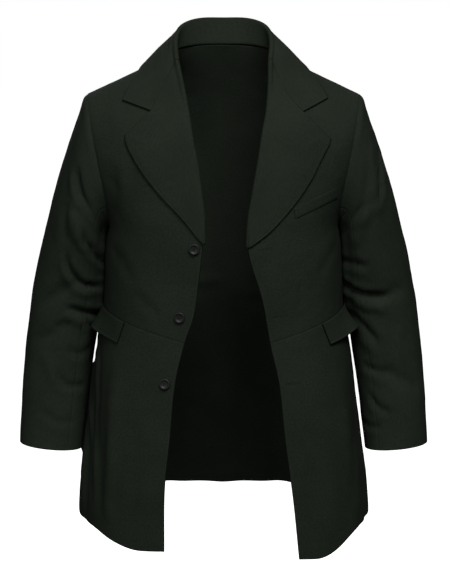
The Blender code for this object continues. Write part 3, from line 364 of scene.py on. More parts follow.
# Smaller creases, each along a few x and z places seen from the front or from behind
Crease = namedtuple("Crease", "zone seen height width places")
CREASES = [
    # Wearer's right sleeve, front: a deep drag to the armpit, then folds packed at the elbow
    Crease("sleeve_right", "front", -0.0095, 0.0060,
           [(-0.247, -0.180), (-0.247, -0.224), (-0.234, -0.254), (-0.217, -0.278), (-0.206, -0.304)]),
    Crease("sleeve_right", "front", 0.0030, 0.0085,
           [(-0.257, -0.200), (-0.256, -0.236), (-0.245, -0.271)]),
    Crease("sleeve_right", "front", -0.0068, 0.0056,
           [(-0.242, -0.290), (-0.236, -0.324), (-0.223, -0.348), (-0.211, -0.372)]),
    Crease("sleeve_right", "front", 0.0026, 0.0060,
           [(-0.229, -0.302), (-0.217, -0.331), (-0.209, -0.352)]),
    Crease("sleeve_right", "front", -0.0060, 0.0054,
           [(-0.272, -0.334), (-0.267, -0.374), (-0.246, -0.400), (-0.215, -0.406)]),
    Crease("sleeve_right", "front", 0.0024, 0.0080,
           [(-0.277, -0.376), (-0.258, -0.412), (-0.228, -0.422)]),
    Crease("sleeve_right", "front", -0.0026, 0.0080,
           [(-0.271, -0.250), (-0.272, -0.295), (-0.273, -0.330)]),
    Crease("sleeve_right", "front", -0.0072, 0.0058,
           [(-0.280, -0.436), (-0.251, -0.449), (-0.230, -0.458), (-0.212, -0.459)]),
    Crease("sleeve_right", "front", 0.0030, 0.0070,
           [(-0.282, -0.456), (-0.255, -0.469), (-0.232, -0.480)]),
    Crease("sleeve_right", "front", -0.0052, 0.0066,
           [(-0.247, -0.462), (-0.234, -0.478), (-0.221, -0.500)]),
    Crease("sleeve_right", "front", -0.0028, 0.0055,
           [(-0.299, -0.477), (-0.281, -0.471), (-0.260, -0.467)]),
    Crease("sleeve_right", "front", -0.0026, 0.0062,
           [(-0.281, -0.514), (-0.256, -0.525), (-0.234, -0.519)]),
    Crease("sleeve_right", "front", -0.0034, 0.0056,
           [(-0.294, -0.546), (-0.284, -0.572), (-0.266, -0.583), (-0.243, -0.583)]),
    Crease("sleeve_right", "front", 0.0018, 0.0085,
           [(-0.322, -0.520), (-0.304, -0.552), (-0.296, -0.590)]),
    Crease("sleeve_right", "front", -0.0017, 0.0075,
           [(-0.325, -0.618), (-0.295, -0.641), (-0.258, -0.648)]),
    # Wearer's left sleeve, front
    Crease("sleeve_left", "front", 0.0040, 0.0080,
           [(0.252, -0.140), (0.254, -0.198), (0.254, -0.256)]),
    Crease("sleeve_left", "front", -0.0046, 0.0062,
           [(0.267, -0.152), (0.271, -0.207), (0.270, -0.262)]),
    Crease("sleeve_left", "front", -0.0090, 0.0060,
           [(0.246, -0.244), (0.227, -0.273), (0.214, -0.289), (0.209, -0.326)]),
    Crease("sleeve_left", "front", 0.0036, 0.0078,
           [(0.252, -0.262), (0.234, -0.297), (0.221, -0.338)]),
    Crease("sleeve_left", "front", -0.0040, 0.0068,
           [(0.210, -0.359), (0.231, -0.364), (0.258, -0.366)]),
    Crease("sleeve_left", "front", -0.0080, 0.0056,
           [(0.213, -0.392), (0.226, -0.412), (0.252, -0.420), (0.279, -0.422), (0.300, -0.428)]),
    Crease("sleeve_left", "front", 0.0034, 0.0068,
           [(0.226, -0.434), (0.256, -0.442), (0.292, -0.443)]),
    Crease("sleeve_left", "front", -0.0044, 0.0062,
           [(0.223, -0.455), (0.246, -0.475), (0.273, -0.510)]),
    Crease("sleeve_left", "front", 0.0020, 0.0080,
           [(0.238, -0.496), (0.256, -0.512), (0.276, -0.532)]),
    Crease("sleeve_left", "front", -0.0034, 0.0058,
           [(0.244, -0.542), (0.270, -0.556), (0.297, -0.555)]),
    Crease("sleeve_left", "front", -0.0036, 0.0058,
           [(0.253, -0.597), (0.273, -0.617), (0.297, -0.631)]),
    Crease("sleeve_left", "front", -0.0022, 0.0055,
           [(0.247, -0.650), (0.263, -0.654), (0.283, -0.650)]),
    Crease("sleeve_left", "front", 0.0018, 0.0090,
           [(0.312, -0.460), (0.306, -0.520), (0.313, -0.580)]),
    # Both sleeves from behind, at the armhole and the elbow
    Crease("sleeve_right", "back", -0.0066, 0.0066,
           [(-0.250, -0.170), (-0.252, -0.210), (-0.242, -0.250), (-0.222, -0.290)]),
    Crease("sleeve_right", "back", 0.0036, 0.0090,
           [(-0.266, -0.190), (-0.264, -0.240), (-0.246, -0.290)]),
    Crease("sleeve_right", "back", -0.0056, 0.0062,
           [(-0.306, -0.376), (-0.275, -0.396), (-0.238, -0.398)]),
    Crease("sleeve_right", "back", -0.0048, 0.0056,
           [(-0.314, -0.432), (-0.282, -0.428), (-0.244, -0.447)]),
    Crease("sleeve_right", "back", 0.0026, 0.0080,
           [(-0.318, -0.452), (-0.290, -0.451), (-0.256, -0.463)]),
    Crease("sleeve_right", "back", -0.0036, 0.0062,
           [(-0.318, -0.490), (-0.290, -0.474), (-0.256, -0.482)]),
    Crease("sleeve_right", "back", -0.0024, 0.0075,
           [(-0.320, -0.556), (-0.296, -0.580), (-0.264, -0.588)]),
    Crease("sleeve_left", "back", -0.0066, 0.0066,
           [(0.246, -0.176), (0.250, -0.216), (0.240, -0.256), (0.222, -0.284)]),
    Crease("sleeve_left", "back", 0.0036, 0.0090,
           [(0.264, -0.200), (0.260, -0.246), (0.244, -0.286)]),
    Crease("sleeve_left", "back", -0.0054, 0.0062,
           [(0.302, -0.370), (0.272, -0.386), (0.238, -0.406)]),
    Crease("sleeve_left", "back", -0.0052, 0.0056,
           [(0.316, -0.422), (0.284, -0.434), (0.248, -0.431)]),
    Crease("sleeve_left", "back", 0.0026, 0.0080,
           [(0.318, -0.448), (0.288, -0.458), (0.256, -0.454)]),
    Crease("sleeve_left", "back", -0.0034, 0.0064,
           [(0.320, -0.478), (0.296, -0.492), (0.262, -0.488)]),
    Crease("sleeve_left", "back", -0.0024, 0.0075,
           [(0.324, -0.590), (0.300, -0.600), (0.270, -0.620)]),
    # Drag lines beside the waist, and the chest's break towards each armhole
    Crease("body", "front", -0.0012, 0.0055, [(0.110, -0.380), (0.112, -0.408), (0.113, -0.440)]),
    Crease("body", "front", -0.0012, 0.0055, [(0.129, -0.378), (0.128, -0.404), (0.131, -0.436)]),
    Crease("body", "front", -0.0013, 0.0080,
           [(-0.150, -0.400), (-0.128, -0.424), (-0.104, -0.440)]),
    Crease("body", "front", 0.0018, 0.0120, [(-0.176, -0.170), (-0.172, -0.220), (-0.182, -0.276)]),
    Crease("body", "front", -0.0014, 0.0110,
           [(-0.184, -0.200), (-0.180, -0.240), (-0.184, -0.280)]),
    Crease("body", "front", 0.0016, 0.0130, [(0.186, -0.150), (0.188, -0.190), (0.196, -0.222)]),
    Crease("body", "front", -0.0014, 0.0100,
           [(-0.196, -0.330), (-0.170, -0.356), (-0.150, -0.392)]),
    Crease("body", "front", -0.0014, 0.0100, [(0.198, -0.322), (0.176, -0.352), (0.160, -0.388)]),
    # Skirts, front
    Crease("body", "front", 0.0030, 0.0085, [(-0.194, -0.620), (-0.197, -0.716), (-0.202, -0.810)]),
    Crease("body", "front", 0.0035, 0.0070, [(-0.218, -0.480), (-0.220, -0.598), (-0.223, -0.800)]),
    Crease("body", "front", -0.0110, 0.0095,
           [(-0.227, -0.480), (-0.235, -0.569), (-0.239, -0.677), (-0.240, -0.815)]),
    Crease("body", "front", 0.0032, 0.0120,
           [(-0.2215, -0.480), (-0.2255, -0.514), (-0.2295, -0.548)]),
    Crease("body", "front", -0.0018, 0.0140,
           [(-0.150, -0.600), (-0.152, -0.700), (-0.158, -0.850)]),
    Crease("body", "front", 0.0014, 0.0160, [(0.176, -0.600), (0.184, -0.700), (0.190, -0.840)]),
    Crease("body", "front", 0.0020, 0.0090, [(0.229, -0.650), (0.232, -0.720), (0.236, -0.800)]),
    Crease("body", "front", -0.0014, 0.0130, [(0.146, -0.660), (0.150, -0.740), (0.156, -0.850)]),
    # Back: drag from the neck and shoulder blades, the waist and the fall of the skirt
    Crease("body", "back", -0.0020, 0.0120, [(0.060, -0.040), (0.100, -0.070), (0.150, -0.120)]),
    Crease("body", "back", -0.0020, 0.0120, [(-0.056, -0.044), (-0.098, -0.080), (-0.146, -0.126)]),
    Crease("body", "back", -0.0022, 0.0110, [(0.190, -0.180), (0.176, -0.230), (0.180, -0.290)]),
    Crease("body", "back", -0.0022, 0.0110, [(-0.192, -0.176), (-0.178, -0.236), (-0.184, -0.296)]),
    Crease("body", "back", -0.0026, 0.0090, [(-0.120, -0.402), (-0.060, -0.418), (0.010, -0.412)]),
    Crease("body", "back", -0.0024, 0.0090, [(0.130, -0.396), (0.080, -0.432), (0.020, -0.440)]),
    Crease("body", "back", -0.0018, 0.0080, [(-0.150, -0.440), (-0.100, -0.452), (-0.040, -0.448)]),
    Crease("body", "back", 0.0020, 0.0140, [(0.040, -0.560), (0.050, -0.680), (0.060, -0.800)]),
    Crease("body", "back", 0.0018, 0.0140, [(-0.150, -0.560), (-0.160, -0.680), (-0.170, -0.800)]),
    Crease("body", "back", -0.0020, 0.0150, [(0.150, -0.560), (0.160, -0.690), (0.172, -0.800)]),
]
# Share of a crease over which it rises and fades, and the lips that it pushes up
CREASE_RISE = 0.24
LIP_HEIGHT = 0.30
LIP_PLACE = 2.2
LIP_WIDTH = 1.1
CREASE_STEPS = 5

# Slow unevenness of the worn cloth
WAVE_HEIGHT = 0.0009
WAVE_LENGTH = 0.055
WAVE_SEED = 7.3
RIPPLE_HEIGHT = 0.00035
RIPPLE_LENGTH = 0.016
RIPPLE_SEED = 2.1
# The unevenness fades out this close to a seam or an edge
WAVE_FADE = 0.020

# A sleeve rests on the coat's side from a little below the armhole to the waist. It comes
# this close to it where it was nearer than the first reach, and stays where it was further
# off than the second. Only cloth that faces the side rests on it: the dot product of its
# normal and the side's is REST_FACING at most.
REST_GAP = 0.0003
REST_REACH = (0.007, 0.015)
REST_START = (0.005, 0.014)
REST_END_Z = (-0.456, -0.445)
REST_FACING = -0.2

# Relief beside seams and edges
SEAM_DIP = 0.0004
SEAM_REACH = 0.0018
STITCH_LINE = 0.0055
STITCH_DIP = 0.00045
STITCH_REACH = 0.0010
RIM_RISE = 0.00015
RIM_PLACE = 0.0024
RIM_REACH = 0.0018
HEM_LINE = 0.028
HEM_DIP = 0.0004
HEM_REACH = 0.0016
# Share of an edge over which it turns from sewn to free
FREE_EDGE_RISE = 0.02
# The least half thickness, at the very edge and at a seam
EDGE_HALF = 0.00025
SEAM_HALF = 0.00065
# The form's levels show as faint lines, so the cloth is evened out in this many rounds,
# more and more over this distance from a panel's borders; the collar needs fewer
EVENING_ROUNDS = 90
EVENING_REACH = 0.040
COLLAR_ROUNDS = 20
# A panel's own normals turn to those of its seams over the first distance, and seams are
# found where borders lie nearer than the second
SEAM_BLEND = 0.008
SEAM_MATE = 0.0025

# Stitches of the edges: 3.4 mm apart
STITCH_LENGTH = 0.0026
STITCH_SPACING = 0.0034
THREAD_RADIUS = 0.00026
THREAD_FLATNESS = 0.8

# Buttonholes on the wearer's left front: x and z of their outer and inner ends
BUTTONHOLES = [
    ((0.0575, -0.3235), (0.0815, -0.3215)),
    ((0.0855, -0.4385), (0.1090, -0.4365)),
    ((0.1070, -0.5530), (0.1305, -0.5515)),
]
# Which of them, from the top, are worked in which piece
HOLES_IN = {"forepart_left": (1, 2), "skirt_left": (3,)}
# Their stitches lie in two rows, a third of this width off the slit; the stretch keeps a
# row straight until near its ends
HOLE_WIDTH = 0.0032
HOLE_ROW_STRETCH = 2.2
HOLE_STITCHES = 44
# Stitches whose share off the slit is below this fan out round the ends
HOLE_END = 0.3
HOLE_FAN = 0.5
HOLE_STITCH = (0.0009, 0.0003, 0.00035)
HOLE_STITCH_RISE = 0.0002

# Camera: straight in front at 3 m, pitched down
CAMERA_PLACE = Vector((0.0026, -3.0, 0.06))
CAMERA_PITCH = 9.0
FRAME_HEIGHT = 578
FOCAL_PIXELS = 1714
SENSOR = 36.0

# Soft lights: name, place, watts and width
LIGHTS = [
    ("key light", (0.60, -2.0, 2.0), 80, 1.4),
    ("fill light", (-1.1, -2.8, 0.8), 30, 2.0),
    ("back light", (-0.4, 2.4, 1.0), 26, 2.0),
]
# What the lights point at, and how far the floor reaches to each side
LIGHT_AIM = Vector((0, 0, -0.4))
FLOOR_REACH = 30
# Light from the white surroundings, beside the lamps
SURROUND = 0.07

# The wearer's neck stands this high over the floor
FLOOR_Z = -1.46


def linear(hex_colour):
    """The linear colour of an sRGB hex value."""
    parts = [int(hex_colour[k:k + 2], 16) / 255 for k in (1, 3, 5)]
    spread = [c / 12.92 if c <= 0.04045 else ((c + 0.055) / 1.055) ** 2.4 for c in parts]
    return (*spread, 1.0)


def smooth(knots, values, at):
    """The point of a smooth curve through values (tuples) at their rising knots."""
    last = len(knots) - 1
    at = min(max(at, knots[0]), knots[last])
    k = 0
    while k < last - 1 and at > knots[k + 1]:
        k += 1

    def slope(j):
        low = max(j - 1, 0)
        high = min(j + 1, last)
        run = knots[high] - knots[low]
        return [(b - a) / run for a, b in zip(values[low], values[high])]

    span = knots[k + 1] - knots[k]
    t = (at - knots[k]) / span
    start_weight = 2 * t**3 - 3 * t**2 + 1
    leave_weight = (t**3 - 2 * t**2 + t) * span
    end_weight = 3 * t**2 - 2 * t**3
    arrive_weight = (t**3 - t**2) * span
    parts = zip(values[k], slope(k), values[k + 1], slope(k + 1))
    return [
        start_weight * a + leave_weight * m + end_weight * b + arrive_weight * n
        for a, m, b, n in parts
    ]


def ease(share):
    """A soft step from 0 to 1."""
    share = np.clip(share, 0.0, 1.0)
    return share * share * (3 - 2 * share)


def between(value, ends):
    """A soft step from 0 at the first end to 1 at the second."""
    return ease((value - ends[0]) / (ends[1] - ends[0]))


def bell(distance, place, reach):
    """A soft bump about a place."""
    return np.exp(-(((distance - place) / reach) ** 2))


def arc(start, corner, end, fullness, t):
    """A curve from start to end that leaves and arrives along the lines to the corner."""
    leave = start.lerp(corner, fullness)
    arrive = end.lerp(corner, fullness)
    s = 1 - t
    return start * s**3 + leave * (3 * s * s * t) + arrive * (3 * s * t * t) + end * t**3


def on_edge(table, z):
    """The point at height z of a line given as a falling table of z, x and y."""
    x, y = smooth([-row.z for row in table], [(row.x, row.y) for row in table], -z)
    return Vector((x, y, z))


def mirrored(point, side):
    """The point on the named side of the coat."""
    return Vector((point.x * SIDES[side], point.y, point.z))


def fine_places(first, last, step, length):
    """Places from first to last in even steps, with more beside both ends."""
    count = round((last - first) / step)
    places = {round(first + (last - first) * k / count, 7) for k in range(count + 1)}
    for distance in NEAR_EDGE:
        places.add(round(first + distance / length, 7))
        places.add(round(last - distance / length, 7))
    return sorted(places)


def ring_points(ring, forward, backward):
    """Outer, front, inner and back points of a sleeve ring."""
    outer = Vector((ring.outer_x, ring.middle_y, ring.outer_z))
    inner = Vector((ring.inner_x, ring.middle_y, ring.inner_z))
    middle = (outer + inner) / 2
    front = middle + Vector((0, -ring.front, 0)) + forward
    back = middle + Vector((0, ring.back, 0)) + backward
    return outer, front, inner, back


def round_ring(points, around, scoop):
    """The place round a ring, in quarters: outer 0, front 1, inner 2, back 3."""
    outer, front, inner, back = points
    quarters = [
        (outer, front, Vector((outer.x, front.y, outer.z))),
        (front, inner, Vector((inner.x - scoop, front.y, inner.z))),
        (inner, back, Vector((inner.x - scoop, back.y, inner.z))),
        (back, outer, Vector((outer.x, back.y, outer.z))),
    ]
    around = around % 4
    quarter = min(int(around), 3)
    start, end, corner = quarters[quarter]
    return arc(start, corner, end, SLEEVE_FULLNESS, around - quarter)


ARMHOLE = ring_points(SLEEVE_RINGS[0], ARMHOLE_FORWARD, ARMHOLE_BACKWARD)


def row_outer(row, front):
    """Outer end of a level of the body: on the armhole, then on the side seam."""
    if row <= ARMHOLE_STEPS:
        around = row / QUARTER_ROWS
        return round_ring(ARMHOLE, around if front else 4 - around, ARMHOLE_SCOOP)
    if row <= WAIST_ROW:
        share = (row - ARMHOLE_STEPS) / SIDE_STEPS
        z = SIDE_SEAM[0].z + (WAIST_SIDE_Z - SIDE_SEAM[0].z) * share
    else:
        z = WAIST_SIDE_Z + (HEM_SIDE_Z - WAIST_SIDE_Z) * (row - WAIST_ROW) / SKIRT_STEPS
    return on_edge(SIDE_SEAM, z)


def row_inner_z(side, row):
    """Height of the front edge at a level of the body."""
    if row <= ARMHOLE_STEPS:
        return UNDERARM_FRONT_Z * (row / ARMHOLE_STEPS) ** EDGE_CROWDING
    if row <= WAIST_ROW:
        share = (row - ARMHOLE_STEPS) / SIDE_STEPS
        return UNDERARM_FRONT_Z + (WAIST_FRONT_Z - UNDERARM_FRONT_Z) * share
    share = (row - WAIST_ROW) / SKIRT_STEPS
    return WAIST_FRONT_Z + (HEM_FRONT_Z[side] - WAIST_FRONT_Z) * share


def front_level(side, row, places):
    """Points of one level of a front, from the front edge to its outer end."""
    inner = on_edge(FRONT_EDGE[side], row_inner_z(side, row))
    outer = row_outer(row, True)
    knots = [turn.row for turn in FRONT_TURNS]
    values = [(turn.turn, turn.corner_y, turn.fullness) for turn in FRONT_TURNS]
    share, corner_y, fullness = smooth(knots, values, row)
    corner = inner.lerp(outer, share)
    corner.y = corner_y
    sag = WAIST_SAG * max(0.0, 1 - abs(row - WAIST_ROW) / SAG_ROWS)
    near_hem = max(0.0, (row - WAIST_ROW) / SKIRT_STEPS)
    arched = min(row, 1.0)
    points = []
    for t in places:
        point = inner.lerp(outer, t).lerp(arc(inner, corner, outer, fullness, t), arched)
        if near_hem:
            level = (point.z - inner.z) / (outer.z - inner.z)
            curve = float(between(t, HEM_RISE))
            point.z += (outer.z - inner.z) * (curve - level) * near_hem
        point.z -= sag * math.sin(math.pi * t)
        points.append(mirrored(point, side))
    return points


def back_half_level(row, places):
    """Points of one level of the back, from its middle to the wearer's left.

    Places run from 0 at the middle over NECK_STEPS to the outer end, in columns of the
    form. The top level follows the neckline and then the shoulder seam.
    """
    knots = [turn.row for turn in BACK_TURNS]
    values = [tuple(turn)[1:] for turn in BACK_TURNS]
    middle_y, middle_z, share, fullness = smooth(knots, values, row)
    middle = Vector((0, middle_y, middle_z))
    outer = row_outer(row, False)
    even = NECK_STEPS / (NECK_STEPS + FRONT_STEPS)
    neck_share = even + (NECK_SHARE - even) * max(0.0, 1 - row / ARMHOLE_STEPS)
    corner = middle.lerp(outer, share)
    corner.y = middle_y
    neck_corner = Vector((NECK_POINT.x, middle_y, middle_z))
    arched = float(ease(row))
    points = []
    for place in places:
        if place <= NECK_STEPS:
            t = neck_share * place / NECK_STEPS
        else:
            t = neck_share + (1 - neck_share) * (place - NECK_STEPS) / FRONT_STEPS
        point = arc(middle, corner, outer, fullness, t)
        if row < 1:
            if place <= NECK_STEPS:
                line = arc(middle, neck_corner, NECK_POINT, fullness, place / NECK_STEPS)
            else:
                line = NECK_POINT.lerp(outer, (place - NECK_STEPS) / FRONT_STEPS)
            point = line.lerp(point, arched)
        points.append(point)
    return points


def as_array(grid):
    """Rows of points as one array of rows, columns and x, y, z."""
    return np.array([[tuple(point) for point in row] for row in grid], float)


def sleeve_grid(side, places):
    """A part of a sleeve, from the armhole to the cuff, at places round its rings."""
    knots = [k / (len(SLEEVE_RINGS) - 1) for k in range(len(SLEEVE_RINGS))]
    grid = []
    for at in fine_places(0.0, 1.0, 1 / SLEEVE_ROWS, SLEEVE_LENGTH):
        ring = Ring(*smooth(knots, SLEEVE_RINGS, at))
        lean = max(0.0, 1 - at / LEAN_REACH)
        points = ring_points(ring, ARMHOLE_FORWARD * lean, ARMHOLE_BACKWARD * lean)
        scoop = ARMHOLE_SCOOP * lean
        grid.append([mirrored(round_ring(points, place, scoop), side) for place in places])
    return as_array(grid)


def grid_normals(points, sign):
    """Outward normals of a grid of points."""
    normal = np.cross(np.gradient(points, axis=0), np.gradient(points, axis=1)) * sign
    return normal / np.maximum(np.linalg.norm(normal, axis=-1, keepdims=True), 1e-12)


def unit(values):
    """The arrows of an array at a length of 1."""
    return values / np.maximum(np.linalg.norm(values, axis=-1, keepdims=True), 1e-12)


def edge_distances(points):
    """Distance along the cloth from each of a grid's four edges."""
    down = np.linalg.norm(np.diff(points, axis=0), axis=-1)
    across = np.linalg.norm(np.diff(points, axis=1), axis=-1)
    top = np.vstack([np.zeros((1, points.shape[1])), np.cumsum(down, axis=0)])
    first = np.hstack([np.zeros((points.shape[0], 1)), np.cumsum(across, axis=1)])
    return {"top": top, "bottom": top[-1:] - top, "first": first, "last": first[:, -1:] - first}


# A piece of the coat: its grid of middle points, the sign of its normals, and what each
# of its four edges is (seam, plain, stitched, hem, folded or tucked). An edge that is sewn
# to its neighbour at first and free further on is a pair: its kind, and the share where it starts.
class Panel:
    def __init__(self, zone, points, sign, edges):
        self.zone = zone
        self.points = points
        self.sign = sign
        self.edges = edges
        self.normals = grid_normals(points, sign)


BORDERS = {
    "top": (0, slice(None)),
    "bottom": (-1, slice(None)),
    "first": (slice(None), 0),
    "last": (slice(None), -1),
}


def share_seam_normals(panels):
    """Give panels the same normals where they meet, easing in from the seam."""
    own = {name: grid_normals(panel.points, panel.sign) for name, panel in panels.items()}
    rims = {}
    for name, panel in panels.items():
        places = np.vstack([panel.points[border] for border in BORDERS.values()])
        normals = np.vstack([own[name][border] for border in BORDERS.values()])
        rims[name] = (places, normals)
    for name, panel in panels.items():
        normals = own[name].copy()
        distances = edge_distances(panel.points)
        low = panel.points.reshape(-1, 3).min(axis=0) - SEAM_MATE
        high = panel.points.reshape(-1, 3).max(axis=0) + SEAM_MATE
        for border, index in BORDERS.items():
            places = panel.points[index]
            total = own[name][index].copy()
            for other, (rim, rim_normals) in rims.items():
                if other == name or (rim.min(axis=0) > high).any() or (rim.max(axis=0) < low).any():
                    continue
                gaps = np.linalg.norm(places[:, None] - rim[None], axis=-1)
                nearest = gaps.argmin(axis=1)
                mates = gaps.min(axis=1) < SEAM_MATE
                total[mates] += rim_normals[nearest[mates]]
            change = unit(total) - normals[index]
            weight = ease(1 - distances[border] / SEAM_BLEND)[..., None]
            spread = change[None] if border in ("top", "bottom") else change[:, None]
            normals = unit(normals + spread * weight)
        panel.normals = normals


def along_path(points, path):
    """Distance from a path, and the share of the way along it, at each point."""
    lengths = np.linalg.norm(np.diff(path, axis=0), axis=-1)
    done = np.concatenate([[0.0], np.cumsum(lengths)])
    nearest = np.full(points.shape[:-1], np.inf)
    share = np.zeros(points.shape[:-1])
    for k, (start, end) in enumerate(zip(path, path[1:])):
        run = end - start
        t = np.clip(((points - start) @ run) / (run @ run), 0.0, 1.0)
        gap = np.linalg.norm(points - start - t[..., None] * run, axis=-1)
        closer = gap < nearest
        nearest = np.where(closer, gap, nearest)
        share = np.where(closer, (done[k] + t * lengths[k]) / done[-1], share)
    return nearest, share


def fold_height(zone, points):
    """How far the form's own folds lift the cloth at each point."""
    lift = np.zeros(points.shape[:-1])
    for fold in FOLDS:
        if fold.zone == zone:
            away, share = along_path(points, np.array([fold.start, fold.end]))
            fade = np.minimum(1.0, share / FOLD_RISE)
            lift += fold.height * fade * bell(away, 0.0, fold.width)
    return lift


def crease_path(crease, zone_points, zone_normals):
    """A crease's places, smoothed and laid on the side of the cloth that it is seen on."""
    facing = zone_normals[:, 1] < 0 if crease.seen == "front" else zone_normals[:, 1] > 0
    cloth = zone_points[facing]
    knots = list(range(len(crease.places)))
    steps = (len(knots) - 1) * CREASE_STEPS
    path = []
    for k in range(steps + 1):
        x, z = smooth(knots, crease.places, k / CREASE_STEPS)
        away = (cloth[:, 0] - x) ** 2 + (cloth[:, 2] - z) ** 2
        path.append(cloth[away.argmin()])
    return np.array(path)


def crease_height(crease, path, points):
    """How far one crease lifts or sinks the cloth, with a soft lip to either side."""
    away, share = along_path(points, path)
    fade = ease(share / CREASE_RISE) * ease((1 - share) / CREASE_RISE)
    core = bell(away, 0.0, crease.width)
    lips = bell(away / crease.width, LIP_PLACE, LIP_WIDTH) * LIP_HEIGHT
    return crease.height * fade * (core - lips)


def cloth_waves(points, height, length, seed):
    """Slow unevenness, the same on each run."""
    flat = points.reshape(-1, 3) / length + seed
    values = [noise.noise(Vector(place)) for place in flat]
    return np.array(values).reshape(points.shape[:-1]) * height


def still_rows(panel):
    """How freely a sleeve's folds may lift it: not at all at the armhole."""
    if panel.zone == "body":
        return np.ones(panel.points.shape[:2])
    first, last = SLEEVE_FOLD_START
    down = edge_distances(panel.points)["top"] / SLEEVE_LENGTH
    return np.clip((down - first) / (last - first), 0.0, 1.0)


def shape_folds(panels):
    """Raise the form's folds, then the smaller creases, then the cloth's unevenness."""
    share_seam_normals(panels)
    for panel in panels.values():
        lift = fold_height(panel.zone, panel.points) * still_rows(panel)
        panel.points = panel.points + panel.normals * lift[..., None]
    share_seam_normals(panels)
    lifts = {name: np.zeros(panel.points.shape[:2]) for name, panel in panels.items()}
    for zone in {panel.zone for panel in panels.values()}:
        members = {name: panel for name, panel in panels.items() if panel.zone == zone}
        cloth = np.vstack([panel.points.reshape(-1, 3) for panel in members.values()])
        normals = np.vstack([panel.normals.reshape(-1, 3) for panel in members.values()])
        for crease in CREASES:
            if crease.zone != zone:
                continue
            path = crease_path(crease, cloth, normals)
            for name, panel in members.items():
                lifts[name] += crease_height(crease, path, panel.points)
    for name, panel in panels.items():
        waves = cloth_waves(panel.points, WAVE_HEIGHT, WAVE_LENGTH, WAVE_SEED)
        waves += cloth_waves(panel.points, RIPPLE_HEIGHT, RIPPLE_LENGTH, RIPPLE_SEED)
        armhole = edge_distances(panel.points)["top"] if panel.zone != "body" else WAVE_FADE
        lift = lifts[name] * still_rows(panel) + waves * ease(armhole / WAVE_FADE)
        panel.points = panel.points + panel.normals * lift[..., None]
    share_seam_normals(panels)
    rest_sleeves(panels)
    share_seam_normals(panels)


def evened(points, rounds=EVENING_ROUNDS):
    """A grid of points, evened out down its columns away from its borders."""
    least = np.minimum.reduce(list(edge_distances(points).values()))
    weight = ease(least[1:-1] / EVENING_REACH)[..., None]
    moved = points.copy()
    for _ in range(rounds):
        halfway = (moved[:-2] + moved[2:]) / 2
        moved[1:-1] += (halfway - moved[1:-1]) * weight / 2
    return moved


def body_panels():
    """The panels that are sewn edge to edge."""
    rows = {
        "forepart": fine_places(0, WAIST_ROW, 1 / FINE_ROWS, ROW_LENGTH),
        "skirt": fine_places(WAIST_ROW, HEM_ROW, 1 / FINE_ROWS, ROW_LENGTH),
        "back": fine_places(0, HEM_ROW, 1 / FINE_ROWS, ROW_LENGTH),
    }
    front = fine_places(0.0, 1.0, 1 / (FRONT_STEPS * FINE_COLUMNS), COLUMN_LENGTH * FRONT_STEPS)
    half = NECK_STEPS + FRONT_STEPS
    whole = fine_places(-half, half, 1 / FINE_COLUMNS, COLUMN_LENGTH)
    first, last = UNDER_SLEEVE
    under_places = fine_places(first, last, 1 / SLEEVE_FINE, QUARTER_LENGTH)
    top_places = fine_places(last - 4, first, 1 / SLEEVE_FINE, QUARTER_LENGTH)
    panels = {}
    for side, sign in SIDES.items():
        forepart = evened(as_array([front_level(side, row, front) for row in rows["forepart"]]))
        edges = {"top": "seam", "bottom": "seam", "first": "stitched", "last": "seam"}
        panels[f"forepart_{side}"] = Panel("body", forepart, sign, edges)
        skirt = evened(as_array([front_level(side, row, front) for row in rows["skirt"]]))
        edges = {"top": "seam", "bottom": "hem", "first": "stitched", "last": "seam"}
        panels[f"skirt_{side}"] = Panel("body", skirt, sign, edges)
        zone = f"sleeve_{side}"
        edges = {"top": "seam", "bottom": "plain", "first": "seam", "last": "seam"}
        panels[f"sleeve_under_{side}"] = Panel(zone, sleeve_grid(side, under_places), -sign, edges)
        panels[f"sleeve_top_{side}"] = Panel(zone, sleeve_grid(side, top_places), -sign, edges)
    levels = []
    for row in rows["back"]:
        half_line = back_half_level(row, [place for place in whole if place >= 0])
        levels.append(half_line[::-1] + [mirrored(point, "right") for point in half_line[1:]])
    edges = {"top": "seam", "bottom": "hem", "first": "seam", "last": "seam"}
    panels["back"] = Panel("body", evened(as_array(levels)), 1.0, edges)
    return panels


def outer_surface(panels):
    """A search tree of the outer faces of some panels."""
    points = []
    faces = []
    for panel in panels:
        base = len(points)
        rows, width = panel.points.shape[:2]
        outer = panel.points + panel.normals * (CLOTH / 2)
        points.extend(outer.reshape(-1, 3).tolist())
        for r in range(rows - 1):
            for c in range(width - 1):
                a = base + r * width + c
                quad = (a, a + width, a + width + 1, a + 1)
                faces.append(quad if panel.sign > 0 else quad[::-1])
    return BVHTree.FromPolygons(points, faces)


def rest_sleeves(panels):
    """Lay the inner side of each sleeve on the coat's side, down to the waist."""
    body = outer_surface([panel for panel in panels.values() if panel.zone == "body"])
    least = REST_GAP + SHELL / 2
    for panel in panels.values():
        if panel.zone == "body":
            continue
        begun = between(edge_distances(panel.points)["top"], REST_START)
        holds = begun * between(panel.points[..., 2], REST_END_Z)
        for r, c in np.argwhere(holds > 0):
            point = Vector(panel.points[r, c])
            spot, normal, _, _ = body.find_nearest(point)
            away = (point - spot).dot(normal)
            if away > REST_REACH[1] or normal.dot(Vector(panel.normals[r, c])) > REST_FACING:
                continue
            kept = float(between(away, REST_REACH))
            shift = (least - away) * (1 - kept) * holds[r, c]
            panel.points[r, c] += np.array(normal) * shift


def on_front(tree, x, z):
    """Place and normal of a front's outer face at x and z, or None past its edge."""
    hit, normal, _, _ = tree.ray_cast(Vector((x, -1.0, z)), Vector((0, 1, 0)))
    if hit is None or hit.y > FRONTS_Y:
        return None
    return hit, normal


